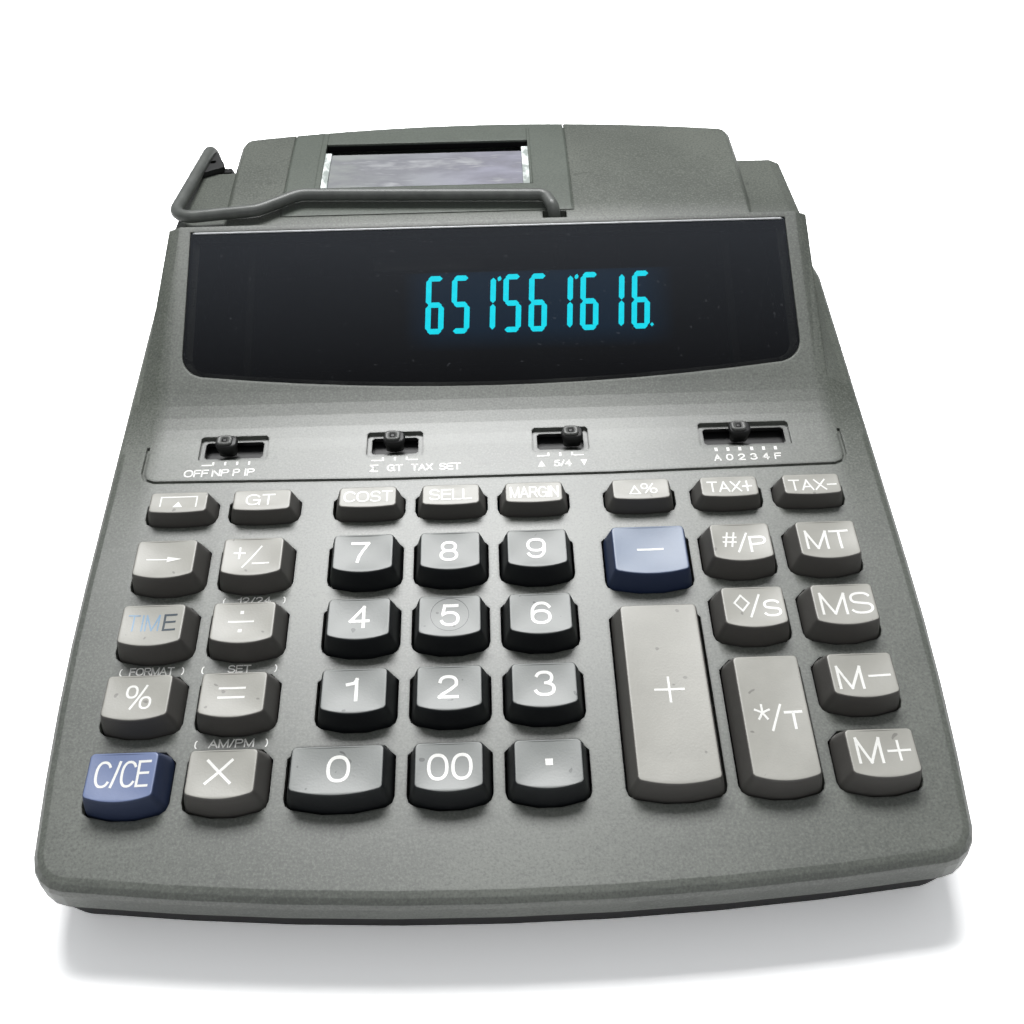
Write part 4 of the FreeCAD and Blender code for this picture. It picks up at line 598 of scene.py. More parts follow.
# Each sign: its width as a share of its height, and its strokes between 0 and 1 each way
SIGNS = {
    "A": (0.95, chain((0, 0), (0.5, 1), (1, 0)) + [run((0.17, 0.33), (0.83, 0.33))]),
    "C": (0.95, [oval(0.53, 0.5, 0.53, 0.5, 38, 322)]),
    "E": (0.78, [STEM, OVER, run((0, 0.53), (0.93, 0.53)), UNDER]),
    "F": (0.74, [STEM, OVER, run((0, 0.51), (0.88, 0.51))]),
    "G": (1.0, [oval(0.51, 0.5, 0.51, 0.5, 38, 335)] + chain((1, 0), (1, 0.47), (0.56, 0.47))),
    "I": (0.12, chain((0.5, 0), (0.5, 1))),
    "L": (0.7, [STEM, UNDER]),
    "M": (1.02, chain((0, 0), (0, 1), (0.5, 0), (1, 1), (1, 0))),
    "N": (0.85, chain((0, 0), (0, 1), (1, 0), (1, 1))),
    "O": (1.03, [ROUND]),
    "P": (0.82, [STEM, run(BOWL[:-1], (0, 0.48))]),
    "R": (0.88, [STEM, BOWL, run((0.55, 0.52), (1, 0))]),
    "S": (0.86, [LETTER_S]),
    "T": (0.86, [OVER, run((0.5, 1), (0.5, 0))]),
    "X": (0.9, [run((0, 0), (1, 1)), run((0, 1), (1, 0))]),
    "0": (0.72, [ROUND]),
    "1": (0.34, [run((1, 0), (1, 1)), run((1, 0.99), (0.72, 0.82), (0, 0.76))]),
    "2": (0.7, [TWO, UNDER]),
    "3": (0.72, [THREE]),
    "4": (0.74, chain((0.74, 0), (0.74, 1), (0, 0.3), (1, 0.3))),
    "5": (0.72, [run((0.92, 1), (0.2, 1)), FIVE]),
    "6": (0.72, SIX),
    "7": (0.7, [OVER, run((1, 0.98), (0.66, 0.6), (0.44, 0.28), (0.36, 0))]),
    "8": (0.72, [oval(0.5, 0.765, 0.42, 0.235), oval(0.5, 0.27, 0.5, 0.27)]),
    "9": (0.72, NINE),
    "%": (1.05, [oval(0.2, 0.75, 0.2, 0.25), oval(0.8, 0.25, 0.2, 0.25), run((0.24, 0), (0.76, 1))]),
    "/": (0.42, chain((0, 0), (1, 1))),
    "+": (0.8, [run((0, 0.5), (1, 0.5)), run((0.5, 0), (0.5, 1))]),
    "-": (0.72, chain((0, 0.5), (1, 0.5))),
    "=": (1.0, [OVER, UNDER]),
    "#": (0.8, [run((x, 0), (x + 0.28, 1)) for x in (0.1, 0.62)] + [run((x, y), (x + 0.95, y)) for x, y in GRID_BARS]),
    "*": (0.9, [run(HUB, end) for end in ((0.5, 1), (0, 0.66), (1, 0.66), (0.2, 0), (0.8, 0))]),
    "(": (0.3, [oval(1.0, 0.5, 0.9, 0.5, 110, 250)]),
    ")": (0.3, [oval(0.0, 0.5, 0.9, 0.5, 70, -70)]),
    "sum": (0.8, chain((1, 1), (0, 1), (0.55, 0.5), (0, 0), (1, 0))),
    "delta": (0.95, chain((0, 0), (0.5, 1), (1, 0), (0, 0))),
    "diamond": (0.9, chain((0, 0.5), (0.5, 1), (1, 0.5), (0.5, 0), (0, 0.5))),
    "feed": (2.6, chain((0, 0.1), (0, 1), (1, 1), (1, 0))),
    "shaft": (3.0, chain((0, 0.5), (0.8, 0.5))),
}
FILLED = {
    "point": [(0, 0), (1, 0), (1, 1), (0, 1)],
    "up": [(0, 0), (1, 0), (0.5, 1)],
    "down": [(0, 1), (0.5, 0), (1, 1)],
    "head": [(0, 0), (1, 0.5), (0, 1)],
}
SPACE = 0.24


def ribbon(path, width):
    """A stroke as a flat strip, mitred at its bends, with points every half millimetre.

    Open ends are lengthened by half the width.
    """
    closed = np.allclose(path[0], path[-1])
    step = np.linalg.norm(np.diff(path, axis=0), axis=1)
    path = path[np.concatenate([[True], step > 1e-6])]
    far = np.concatenate([[0.0], np.cumsum(np.linalg.norm(np.diff(path, axis=0), axis=1))])
    marks = np.union1d(far, np.linspace(0.0, far[-1], max(2, int(far[-1] / 0.5))))
    path = np.stack([np.interp(marks, far, path[:, 0]), np.interp(marks, far, path[:, 1])], 1)
    way = directions(path)
    before = np.concatenate([way[-1:] if closed else way[:1], way])
    after = np.concatenate([way, way[:1] if closed else way[-1:]])
    if not closed:
        path[0] -= way[0] * width / 2
        path[-1] += way[-1] * width / 2
    normal = np.stack([-(before + after)[:, 1], (before + after)[:, 0]], 1)
    normal /= np.maximum(np.sum(normal ** 2, 1), 0.5)[:, None] / 2
    points = np.stack([path + normal * width / 2, path - normal * width / 2], 1).reshape(-1, 2)
    first = np.arange(len(path) - 1) * 2
    return points, np.stack([first, first + 1, first + 3, first + 2], 1)


def lettering(word, wide, high, stroke):
    """Points and faces of a word or a named sign, centred, in millimetres; letters share its width."""
    if word in FILLED:
        outline = (np.array(FILLED[word]) - 0.5) * [wide, high]
        return outline, [list(range(len(outline)))]
    letters = [word] if word in SIGNS else list(word)
    widths = np.array([SIGNS[letter][0] for letter in letters])
    starts = np.cumsum(widths) - widths + SPACE * np.arange(len(letters))
    share = (wide - stroke) / (starts[-1] + widths[-1])
    points, faces, count = [], [], 0
    for letter, start, width in zip(letters, starts, widths):
        for path in SIGNS[letter][1]:
            place = path * [width * share, high - stroke] + [start * share - (wide - stroke) / 2, -(high - stroke) / 2]
            strip, sides = ribbon(place, stroke)
            points.append(strip)
            faces += (sides + count).tolist()
            count += len(strip)
    return np.concatenate(points), faces


def legend(name, parts, body, material, height=None, lift=0.03):
    """Signs laid on a surface. Each part is (word, middle x, middle v, width, height, stroke)."""
    everything, faces, count = [], [], 0
    for word, x, v, wide, high, stroke in parts:
        flat, sides = lettering(word, wide, high, stroke)
        across, along = x + flat[:, 0], v + flat[:, 1]
        w = height(across, along) + lift if height else np.full(len(flat), lift)
        everything.append(on_panel(across, along, w))
        faces += [[count + index for index in side] for side in sides]
        count += len(flat)
    turned_faces(piece(name, np.concatenate(everything), faces, material, body, smooth=False), upward=True)


THIN = 0.42  # strokes of small signs
BOLD = 0.58  # strokes of letters on square keys
# Signs are (word, middle across, middle up the panel, width, height, stroke). The function row, left to right:
LOW_KEYS = {
    "paper_feed": [("feed", -75.1, 76.6, 8.8, 3.3, 0.34), ("up", -75.2, 75.9, 2.3, 1.7, 0)],
    "grand_total": [("GT", -55.8, 76.6, 6.9, 3.3, THIN)],
    "cost": [("COST", -30.3, 76.6, 11.6, 3.3, THIN)],
    "sell": [("SELL", -10.8, 76.5, 10.2, 3.3, THIN)],
    "margin": [("MARGIN", 9.1, 76.5, 11.6, 3.4, 0.38)],
    "percent_change": [("delta", 33.0, 76.2, 2.8, 2.7, 0.36), ("%", 36.4, 76.6, 3.9, 3.1, 0.34)],
    "tax_plus": [("TAX+", 55.6, 76.4, 10.7, 3.3, THIN)],
    "tax_minus": [("TAX-", 75.4, 76.2, 11.4, 3.4, THIN)],
}
# The digits 1 to 9 row by row from the top: middle across, middle up the panel, width and height
DIGIT_KEYS = {
    "7": (-31.1, 59.5, 4.3, 5.7),
    "8": (-11.0, 59.2, 4.2, 5.5),
    "9": (8.8, 59.3, 4.4, 5.6),
    "4": (-30.3, 42.3, 4.5, 5.6),
    "5": (-10.7, 42.1, 4.4, 5.5),
    "6": (9.1, 42.0, 4.5, 5.7),
    "1": (-30.9, 24.7, 2.6, 5.4),
    "2": (-10.9, 24.7, 4.3, 5.4),
    "3": (9.1, 24.8, 4.5, 5.9),
}
# The other square keys: column, row and signs
SQUARE_KEYS = {
    "right_shift": (0, 3, [("shaft", -75.7, 59.2, 7.2, 0.9, 0.3), ("head", -73.0, 59.2, 3.4, 1.5, 0)]),
    "sign_change": (1, 3, [
        ("+", -58.4, 60.3, 2.7, 3.2, THIN), ("/", -55.5, 59.2, 4.1, 6.0, THIN), ("-", -53.4, 57.4, 3.9, 0.4, THIN),
    ]),
    "item_count": (6, 3, [
        ("#", 52.9, 60.0, 3.4, 4.1, 0.45), ("/", 55.7, 59.1, 2.8, 5.5, 0.5), ("P", 59.2, 58.6, 4.0, 4.5, BOLD),
    ]),
    "memory_total": (7, 3, [("MT", 75.1, 59.2, 10.1, 5.2, BOLD)]),
    "divide": (1, 2, [
        ("-", -55.9, 42.1, 5.6, 0.4, THIN), ("point", -55.9, 44.4, 0.8, 0.8, 0), ("point", -55.9, 39.8, 0.8, 0.8, 0),
    ]),
    "subtotal": (6, 2, [
        ("diamond", 52.9, 42.9, 3.6, 4.3, 0.45), ("/", 55.7, 42.1, 2.9, 5.9, 0.5), ("S", 59.3, 41.4, 3.9, 4.4, BOLD),
    ]),
    "memory_subtotal": (7, 2, [("MS", 75.6, 42.0, 11.4, 5.6, BOLD)]),
    "percent": (0, 1, [("%", -74.8, 24.5, 5.6, 5.6, 0.5)]),
    "equals": (1, 1, [("=", -55.7, 24.9, 5.6, 2.6, 0.48)]),
    "memory_minus": (7, 1, [("M", 72.4, 23.9, 5.4, 5.5, BOLD), ("-", 78.6, 24.2, 4.6, 0.5, 0.5)]),
    "clear": (0, 0, [("C/CE", -74.9, 7.6, 10.8, 5.6, 0.52)]),
    "multiply": (1, 0, [("X", -56.0, 7.5, 5.3, 5.3, 0.6)]),
    "memory_plus": (7, 0, [("M", 72.6, 7.6, 5.2, 5.6, BOLD), ("+", 78.5, 7.4, 4.6, 4.4, 0.5)]),
    "00": (3, 0, [("00", -10.5, 7.0, 9.0, 5.7, 0.68)]),
    "point": (4, 0, [("point", 9.1, 7.4, 1.5, 1.4, 0)]),
    "time": (0, 2, []),
}
KEY_COLOURS = {"clear": BLUE_KEY, "00": DARK_KEY, "point": DARK_KEY}
ZERO_SIGNS = [("0", -32.5, 7.3, 4.7, 5.7, 0.7)]
SUBTRACT_SIGNS = [("-", 34.6, 58.0, 6.0, 0.5, 0.5)]
ADD_SIGNS = [("+", 34.7, 22.5, 6.3, 6.0, 0.5)]
TOTAL_SIGNS = [("*", 52.9, 16.7, 3.3, 3.5, 0.48), ("/", 55.6, 15.4, 2.8, 6.0, 0.5), ("T", 59.1, 14.7, 3.7, 4.1, BOLD)]


def all_keys():
    """Every key with its signs: the low row, the digits, the other square keys, and four of other sizes."""
    keys = []
    low = {"depth": 9.0, "lean": 7.0, "height": 4.3, "dish": 0.15, "draw": (0.75, 1.2)}
    for column, (name, signs) in enumerate(LOW_KEYS.items()):
        keys.append((Key("key_" + name, COLUMNS[column], ROWS[4], GREY_KEY, **low), signs))
    for index, (digit, sign) in enumerate(DIGIT_KEYS.items()):
        x, v = COLUMNS[2 + index % 3], ROWS[3 - index // 3]
        keys.append((Key("key_" + digit, x, v, DARK_KEY), [(digit, *sign, 0.7)]))
    for name, (column, row, signs) in SQUARE_KEYS.items():
        material = KEY_COLOURS.get(name, GREY_KEY)
        keys.append((Key("key_" + name, COLUMNS[column], ROWS[row], material), signs))
    wide = {"width": 20.4, "lean": 16.0}
    keys.append((Key("key_0", COLUMNS[2] - 2.4, ROWS[0], DARK_KEY, width=22.2, lean=16.0), ZERO_SIGNS))
    keys.append((Key("key_subtract", COLUMNS[5], ROWS[3] - 2.7, PALE_BLUE_KEY, depth=17.3, **wide), SUBTRACT_SIGNS))
    keys.append((Key("key_add", COLUMNS[5], ROWS[0], GREY_KEY, depth=45.5, dish=0.35, **wide), ADD_SIGNS))
    keys.append((Key("key_total", COLUMNS[6], ROWS[0], GREY_KEY, depth=32.0, dish=0.35), TOTAL_SIGNS))
    return keys


def build_keys():
    """All caps with their legends; the first letters of TIME are worn to a faint blue."""
    for key, signs in all_keys():
        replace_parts(key.cap(), key.name)
        if signs:
            legend(key.name + "_legend", signs, key.name, WHITE_INK, key.top)
        if key.name == "key_5":
            ring_mark(key)
        if key.name == "key_time":
            worn = [("TIM", key.x - 1.9, 42.4, 6.9, 4.1, 0.34)]
            dark = [("E", key.x + 3.8, 42.4, 2.9, 4.2, 0.5)]
            legend("key_time_legend", worn, "key_time", FADED_INK, key.top)
            legend("key_time_letter", dark, "key_time", DARK_INK, key.top)


def ring_mark(key):
    """The fine ring round the 5, for fingers to find: a circle drawn as a stroke, painted dark as the shade of an
    engraved groove.
    """
    path = oval(0.0, 0.0, 4.15, 4.1, square=2.0) + [key.x - 0.03, ROWS[2] + 7.4]
    flat, sides = ribbon(path, 0.16)
    points = on_panel(flat[:, 0], flat[:, 1], key.top(flat[:, 0], flat[:, 1]) + 0.02)
    turned_faces(piece("key_5_ring", points, sides, GROOVE_PAINTED_SHADE, "key_5", smooth=False), upward=True)


def panel_v(y):
    """Place along the panel for a depth in the frame."""
    return (y - PANEL_Y) / math.cos(PANEL_ANGLE)


def panel_signs():
    """Small printed words in brackets between the keys, and the words and ticks under the switches."""
    between = []
    for word, x, v, wide, brackets in (
        ("12/24", -55.1, 50.9, 7.6, 13.4),
        ("FORMAT", -75.1, 33.5, 9.6, 13.2),
        ("SET", -56.3, 33.5, 5.0, 15.6),
        ("AM/PM", -55.8, 16.1, 9.4, 14.4),
    ):
        between.append((word, x, v, wide, 1.9, 0.3))
        between.append(("(", x - brackets / 2, v - 0.1, 0.8, 1.9, 0.26))
        between.append((")", x + brackets / 2, v - 0.1, 0.8, 1.9, 0.26))
    legend("panel_words", between, "case", PANEL_INK)
    row = panel_v(-19.1)
    words = [("OFF", -73.8, 6.1, 2.3), ("NP", -67.8, 4.3, 2.3), ("P", -63.9, 1.8, 2.3), ("IP", -60.7, 2.6, 2.3)]
    words += [("sum", -30.0, 2.2, 2.3), ("GT", -24.8, 4.0, 2.2), ("TAX", -18.1, 5.4, 2.2), ("SET", -11.2, 5.4, 2.2)]
    words += [("up", 11.5, 1.8, 1.9), ("5/4", 16.7, 4.4, 2.1), ("down", 22.0, 1.7, 1.9)]
    signs = [(word, x, row, wide, high, 0.38) for word, x, wide, high in words]
    signs += [(sign, 55.2 + 3.0 * index, row + 0.3, 1.8, 2.1, 0.38) for index, sign in enumerate("A0234F")]
    tick = panel_v(-16.2)
    pitch, bracket = 2.97, 1.4
    for first, count in ((-70.0, 4), (-27.9, 3), (13.3, 3), (55.2, 6)):
        wide = 0.75 if count == 6 else 0.5
        signs += [("point", first + pitch * index, tick, wide, 1.15, 0) for index in range(count)]
        if count < 6:
            signs.append(("point", first - bracket, tick - 0.42, 2.9, 0.38, 0))
        if count == 3:
            signs.append(("point", first + pitch * 2 + bracket, tick - 0.42, 2.9, 0.38, 0))
    legend("switch_words", signs, "case", PANEL_INK)


# Display


# Each segment's ends, between 0 and 1 across and up a digit
SEGMENTS = {
    "a": (0.12, 1.0, 0.88, 1.0),
    "b": (1.0, 0.95, 1.0, 0.55),
    "c": (1.0, 0.45, 1.0, 0.05),
    "d": (0.88, 0.0, 0.12, 0.0),
    "e": (0.0, 0.05, 0.0, 0.45),
    "f": (0.0, 0.55, 0.0, 0.95),
    "g": (0.14, 0.5, 0.86, 0.5),
}
DIGITS = {"6": "acdefg", "5": "acdfg", "1": "bc"}
SHOWN = "651561616"
DIGIT_WIDE, DIGIT_HIGH, DIGIT_PITCH = 3.5, 14.6, 7.0
FIRST_DIGIT_X = -16.94


def lit_digits():
    """Seven-segment digits on the tube's face; each segment is a strip with pointed ends."""
    up = np.array([0.0, math.cos(TUBE_ANGLE), math.sin(TUBE_ANGLE)])
    out = np.array([0.0, -up[2], up[1]])
    right = np.array([1.0, 0.0, 0.0])
    base = np.array(TUBE_MIDDLE) + up * 3.6 + out * 0.06
    slant = 0.05
    points, faces = [], []

    def strip(a, b, half, ends):
        way = (b - a) / np.linalg.norm(b - a)
        off = np.array([-way[1], way[0]]) * half
        a, b = a - way * ends, b + way * ends
        near, far = a + way * half, b - way * half
        for x, y in (a, near + off, far + off, b, far - off, near - off):
            points.append(base + right * (x + slant * y) + up * y)
        faces.append(list(range(len(points) - 6, len(points))))

    for place, digit in enumerate(SHOWN):
        for name in DIGITS[digit]:
            ends = np.reshape(SEGMENTS[name], (2, 2)) - [0.0, 0.5]
            a, b = ends * [DIGIT_WIDE, DIGIT_HIGH] + [FIRST_DIGIT_X + DIGIT_PITCH * place, 0.0]
            strip(a, b, 0.74, 0.62)
    for place in (2, 5):
        mark = np.array([FIRST_DIGIT_X + DIGIT_PITCH * place + DIGIT_WIDE + 1.5, 6.3])
        strip(mark, mark + [0.3, 1.1], 0.5, 0.2)
    point = np.array([FIRST_DIGIT_X + DIGIT_PITCH * 8 + DIGIT_WIDE + 1.35, -7.2])
    strip(point, point + [0.0, 0.5], 0.55, 0.3)
    piece("lit_digits", points, faces, digit_glow(), "case", smooth=False)


def lens_edge():
    """The upper edge of the lens: a thin bar whose section is a small half circle, painted near-white as a painted
    highlight.
    """
    turn = np.linspace(0, np.pi, 9)
    x = np.array([-80.4, -79.6, 79.6, 80.4])
    size = np.array([0.1, 0.36, 0.36, 0.1])
    y = 46.75 + size[:, None] * np.cos(turn)[None, :]
    z = 60.42 + size[:, None] * np.sin(turn)[None, :] * 0.9
    points = np.stack(np.broadcast_arrays(x[:, None], y, z), -1)
    # Painted highlight: the bar is near-white for the light caught on the lens edge.
    closed_grid("lens_top_edge", points, plain("lens_edge_painted_highlight", (226, 228, 230), 0.25), "case")


# Window of the printer cover


def hump_height(y):
    """Height of the hump: its slope dies out evenly, so its height is a parabola, and then level."""
    run_in = np.clip(y - HUMP_Y, 0.0, HUMP_RUN)
    return HUMP_Z + math.tan(HUMP_ANGLE) * (run_in - run_in ** 2 / (2 * HUMP_RUN))


def hump_plate(name, x0, x1, y0, y1, drop, thick, material, ripple=0.0, body="cover"):
    """A slab that follows the hump, drop under its face: rings round its section, from front to rear.

    Its rear edge may ripple, as a tear edge that has been used does.
    """
    soft = 0.12
    y = np.concatenate([[y0, y0 + soft], np.linspace(y0, y1, 26)[1:-1], [y1 - soft, y1]])
    inset = np.zeros(len(y))
    inset[[0, -1]] = soft
    x = np.linspace(x0, x1, 64)
    across = np.concatenate([x, x[::-1]])
    upper = np.arange(128) < 64
    top = hump_height(y) - drop
    z = np.where(upper, (top - inset)[:, None], (top - thick + inset)[:, None])
    place = np.repeat(y[:, None], 128, 1)
    place[-1] += ripple * np.sin(across * 2.1) * np.sin(across * 0.37)
    return closed_grid(name, np.stack(np.broadcast_arrays(across, place, z), -1), material, body, smooth=False)


def window():
    """The clouded plate with its ends painted bright as painted light, the rim that closes the opening, and strips in
    the cover's seams.
    """
    x0, x1, y0, y1 = -47.8, 12.2, 68.1, 87.6
    left, right = x0 + 1.8, x1 - 1.9
    # Painted light: the plate's end pieces are painted white for the light gathering in them.
    bright = window_end()
    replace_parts(hump_plate("window_plate", left, right, y0, y1, 1.0, 1.6, clouded_window(), 0.12), "cover_window")
    hump_plate("window_end_left", x0, left, y0, y1, 0.35, 2.2, bright)
    hump_plate("window_end_right", right, x1, y0, y1 + 1.5, 0.35, 2.2, bright)
    hump_plate("window_rim_left", -49.4, x0, 67.9, 99.8, -0.02, 2.4, COVER)
    hump_plate("window_rim_right", x1, 13.0, 67.9, 100.0, -0.02, 2.4, COVER)
    hump_plate("window_rim_rear", x0, x1, 92.3, 100.1, -0.02, 2.4, COVER)
    hump_plate("cover_seam_left", -57.78, -57.42, 55.3, 97.8, 0.22, 1.2, COVER, body="case")
    hump_plate("cover_seam_right", 23.42, 23.78, 55.3, 100.3, 0.22, 1.2, COVER, body="case")


# Slide switches


# Rings of the knob's parts: half its width, half its depth, shift up the panel and height over the panel
SKIRT = [(2.2, 1.7, -0.3, -1.2), (2.3, 1.75, -0.3, 0.2), (2.7, 1.9, -0.1, 1.4), (2.6, 1.8, 0, 2.3), (2.3, 1.5, 0, 2.4)]
CAP = [(1.95, 1.5, 0.1, 2.0), (1.95, 1.55, 0.1, 2.5), (1.85, 1.45, 0.1, 2.9), (1.6, 1.25, 0.1, 3.0)]
CAP += [(0.8, 0.7, 0.1, 2.9), (0.6, 0.55, 0.1, 2.6), (0.1, 0.1, 0.1, 2.55)]
DIMPLE = [(0.66, 0.62, 0.1, 2.4), (0.66, 0.62, 0.1, 2.8), (0.3, 0.3, 0.1, 2.81)]


def knobs():
    """Each knob: a black flaring skirt under a grey cap with a dark dimple, all rounded squares in plan."""
    grey = plain("knob_cap_grey", (92, 93, 91), 0.36, scale=1400.0)
    plan = circle(40)
    plan *= (np.sum(plan ** 4, 1) ** -0.25)[:, None]
    for name in ("power", "mode", "rounding", "decimal"):
        body = name + "_switch"
        low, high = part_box(body + "_knob")
        x, v = (low[0] + high[0]) / MM / 2, panel_v((low[1] + high[1]) / MM / 2) + 0.25

        def solid(part, profile, material, aside=0.0):
            wide, deep, shift, w = np.array(profile).T[:, :, None]
            rings = on_panel(x + aside + plan[:, 0] * wide, v + shift + plan[:, 1] * deep, w)
            return closed_grid(name + part, rings, material, body)

        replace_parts(solid("_skirt", SKIRT, KNOB), body + "_knob")
        solid("_cap", CAP, grey, -0.35)
        solid("_dimple", DIMPLE, KNOB, -0.35)


# Bail


def rounded_route(corners, radii, steps=14):
    """A route whose corners are arcs, each worked out as a blend of its two end radii."""
    points = [np.array(corner, float) for corner in corners]
    route = [points[0]]
    for before, corner, after, radius in zip(points, points[1:], points[2:], radii):
        back = (before - corner) / np.linalg.norm(before - corner)
        on = (after - corner) / np.linalg.norm(after - corner)
        half = math.acos(float(np.clip(back @ on, -1, 1))) / 2
        reach = radius / math.tan(half)
        inward = (back + on) / np.linalg.norm(back + on)
        centre = corner + inward * radius / math.sin(half)
        start, end = corner + back * reach - centre, corner + on * reach - centre
        sweep = math.pi - 2 * half
        turn = np.linspace(0, sweep, steps)
        route += list(centre + (np.outer(np.sin(sweep - turn), start) + np.outer(np.sin(turn), end)) / math.sin(sweep))
    return np.array(route + [points[-1]])


def swept(route, radius, sides):
    """A round bar along a route: circles in planes that halve each corner, carried without twist."""
    way = directions(route)
    side = np.cross(way[0], [0.0, 1.0, 0.0])
    side /= np.linalg.norm(side)
    rings = []
    for index, point in enumerate(route):
        ahead = way[min(index, len(way) - 1)]
        behind = way[max(index - 1, 0)]
        along = (ahead + behind) / np.linalg.norm(ahead + behind)
        side = side - along * (side @ along)
        side /= np.linalg.norm(side)
        rings.append(point + radius * circle(sides) @ np.array([side, np.cross(along, side)]))
    return np.array(rings)


BAIL_PIVOT = np.array([-82.4, 95.0, 48.0])
BAIL_CORNERS = [(0, 0, 0), (-1.0, 2.0, 12.6), (-4.7, -42.3, 13.8), (18.9, -40.4, 14.7), (29.8, -33.6, 15.4)]
BAIL_CORNERS += [(98.3, -36.6, 15.1), (100.5, -43.0, 14.6), (100.8, -43.1, 10.7)]
BAIL_BENDS = [3.6, 5.5, 7.0, 7.0, 2.6, 2.2]
EYE = [(-2.1, 1.66), (-2.1, 3.4), (-1.7, 3.8), (1.7, 3.8), (2.1, 3.4), (2.1, 1.66), (-2.1, 1.66)]  # along X, radius


def bail():
    """The bent wire over the printer with the eye that it swings on, and its web."""
    route = rounded_route(BAIL_PIVOT + BAIL_CORNERS, BAIL_BENDS)
    paint = enamel()
    wire = closed_grid("bail_wire", swept(route, 1.7, 26), paint, "bail")
    rings = [np.insert(r * circle(48), 0, x, axis=1) + BAIL_PIVOT for x, r in EYE]
    ring_piece("bail_eye", rings, paint, "bail")
    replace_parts(wire, "paper_roll_bail")
    gusset()


def gusset():
    """Sheet web in the corner of side rod and leg, painted black as painted shade: a rounded triangle with a hole.

    Along each ray the outline lies at the sum of the sides' distances to the power -6, to the power -1/6.
    """
    corners = np.array([(0.0, 1.2), (5.0, -10.4), (-2.9, -15.4)])
    middle = np.array([0.6, -7.2])
    ray = circle(60)
    edge = np.roll(corners, -1, 0) - corners
    outward = np.stack([edge[:, 1], -edge[:, 0]], 1) / np.linalg.norm(edge, axis=1)[:, None]
    outward *= np.sign(np.sum(outward * (corners - middle), 1))[:, None]
    reach = np.sum(outward * (corners - middle), 1)[None, :] / np.maximum(ray @ outward.T, 1e-3)
    outline = middle + ray * (np.sum(reach ** -6.0, 1) ** (-1 / 6))[:, None]
    hole = middle + ray
    low, high = 10.6, 12.2
    rod_rise = 1.6 / 41.4  # of the side rod, towards the front
    rings = []
    for plan, z in ((hole, low), (hole, high), (outline, high), (outline, low), (hole, low)):
        rings.append(BAIL_PIVOT + np.stack([plan[:, 0], plan[:, 1], z - rod_rise * plan[:, 1]], 1))
    # Painted shade: the web is painted near-black for the shade in the corner.
    turned_faces(ring_piece("bail_web", rings, plain("web_painted_shade", (24, 24, 25), 0.45), "bail"))


# Plain finishes of the pieces that keep their own solids


def dress():
    """Gives the nodes that keep their own solids their materials."""
    steel = plain("plain_steel", (168, 168, 166), 0.35, 1.0, 0.0004, (1.0, 14.0, 1.0), 240.0)
    finishes = {
        "upper_shell": CASE,
        "printer_cover": COVER,
        "lower_case": BASE,
        "cord_bushing": BASE,
        "display_lens": smoked_lens(),
        "display_tube": tube_glass(),
        "key_mat": plain("mat_rubber", (84, 86, 88), 0.7),
        "main_board": plain("board_resist", (52, 84, 50), 0.35),
        "slide_switches": slot_floor(),
        "power_transformer": plain("core_steel", (96, 96, 94), 0.5, 0.6),
        "printer_frame": steel,
        "feed_motor": steel,
        "platen_roller": plain("platen_rubber", (34, 34, 35), 0.6),
        "motor_pinion": plain("gear_nylon", (214, 212, 202), 0.4),
        "print_carriage": plain("carriage_black", (48, 49, 52), 0.5),
        "rubber_feet": plain("foot_rubber", (30, 30, 31), 0.8),
        "case_screws": plain("screw_steel", (120, 120, 118), 0.35, 1.0),
    }
    for name, material in finishes.items():
        for slot in nodes[name].material_slots:
            slot.material = material


# Stage


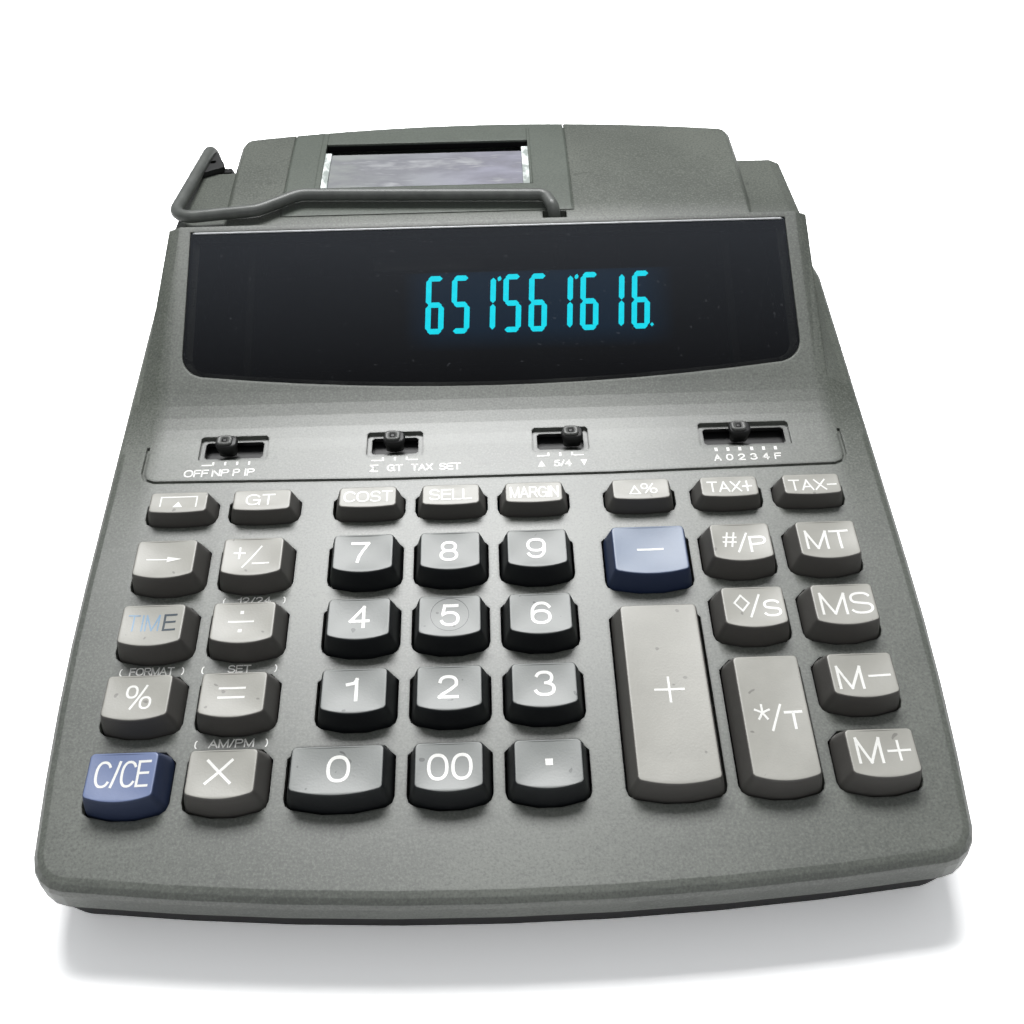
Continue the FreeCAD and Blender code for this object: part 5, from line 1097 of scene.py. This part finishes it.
def stage():
    """A pale floor that turns white far out, a pale background, a broad lamp above and a weak one in front."""
    mesh = bpy.data.meshes.new("floor")
    mesh.from_pydata([(-3, -3, 0), (3, -3, 0), (3, 3, 0), (-3, 3, 0)], [], [(0, 1, 2, 3)])
    material = bpy.data.materials.new("floor_white")
    mesh.materials.append(material)
    linked("floor", mesh)

    tree = Tree(material)
    pale = (0.97, 0.97, 0.97, 1.0)
    rays = tree.add("ShaderNodeLightPath").outputs
    seen = Wave(tree, rays["Is Camera Ray"]).maximum(rays["Is Transmission Ray"])
    place = tree.add("ShaderNodeTexCoord").outputs["Object"]
    distance = tree.add("ShaderNodeVectorMath", {"operation": "LENGTH"}, {0: place}).outputs["Value"]
    far = Wave(tree, distance).ramp(0.3, 0.7) * rays["Is Camera Ray"]
    matt = tree.closure("BsdfDiffuse", pale)
    doubled = tree.closure("AddShader", matt, tree.closure("BsdfDiffuse", pale))
    glowing = tree.closure("AddShader", doubled, tree.closure("Emission", WHITE, 0.05))
    near = tree.closure("MixShader", seen, matt, glowing)
    shown = tree.closure("MixShader", far, near, tree.closure("Emission", WHITE, 1.0))
    tree.add("ShaderNodeOutputMaterial", None, {0: shown})

    world = bpy.data.worlds.new("studio")
    bpy.context.scene.world = world
    tree = Tree(world)
    seen = tree.add("ShaderNodeLightPath").outputs["Is Camera Ray"]
    dim = tree.closure("Background", (0.96, 0.98, 1.0, 1.0), 0.28)
    backdrop = tree.closure("Background", (0.8, 0.8, 0.8, 1.0), 1.0)
    tree.add("ShaderNodeOutputWorld", None, {0: tree.closure("MixShader", seen, dim, backdrop)})

    lamp("overhead_softbox", (-0.04, 0.39, 0.8), (0.0, -0.03, 0.03), 0.5, 0.3, 8.6)
    lamp("front_fill", (-0.1, -0.75, 0.9), (0.0, -0.05, 0.03), 0.5, 0.5, 1.0)


def lamp(name, place, aim, wide, high, power):
    """A rectangular lamp, in metres and watts, turned towards the aim."""
    light = bpy.data.lights.new(name, "AREA")
    light.shape = "RECTANGLE"
    light.size = wide
    light.size_y = high
    light.energy = power
    thing = linked(name, light)
    thing.location = place
    thing.rotation_euler = (Vector(aim) - Vector(place)).to_track_quat("-Z", "Y").to_euler()


def camera():
    """The photograph's camera, found from the rows and columns of keys, so its angles are against the key panel."""
    pitch, yaw, roll = 0.9163, 0.0178, -0.0154
    focal_length, picture_width = 1075.0, 1024.0  # both in pixels
    ahead = np.array([math.sin(yaw) * math.cos(pitch), math.cos(yaw) * math.cos(pitch), -math.sin(pitch)])
    right = np.array([math.cos(yaw), -math.sin(yaw), 0.0])
    up = np.cross(right, ahead)
    right, up = right * math.cos(roll) + up * math.sin(roll), up * math.cos(roll) - right * math.sin(roll)
    tilt = np.array(Matrix.Rotation(PANEL_ANGLE, 3, "X"))
    view = bpy.data.cameras.new("camera")
    view.sensor_width = 36.0
    view.lens = view.sensor_width * focal_length / picture_width
    view.clip_start = 0.01
    thing = linked("camera", view)
    matrix = Matrix([tilt @ right, tilt @ up, -(tilt @ ahead)]).transposed().to_4x4()
    matrix.translation = Vector((0.92, -215.5, 212.37)) * MM
    thing.matrix_world = matrix
    bpy.context.scene.camera = thing


bpy.context.scene.view_settings.view_transform = "Standard"
camera()
stage()
dress()
build_keys()
panel_signs()
lit_digits()
lens_edge()
window()
knobs()
bail()
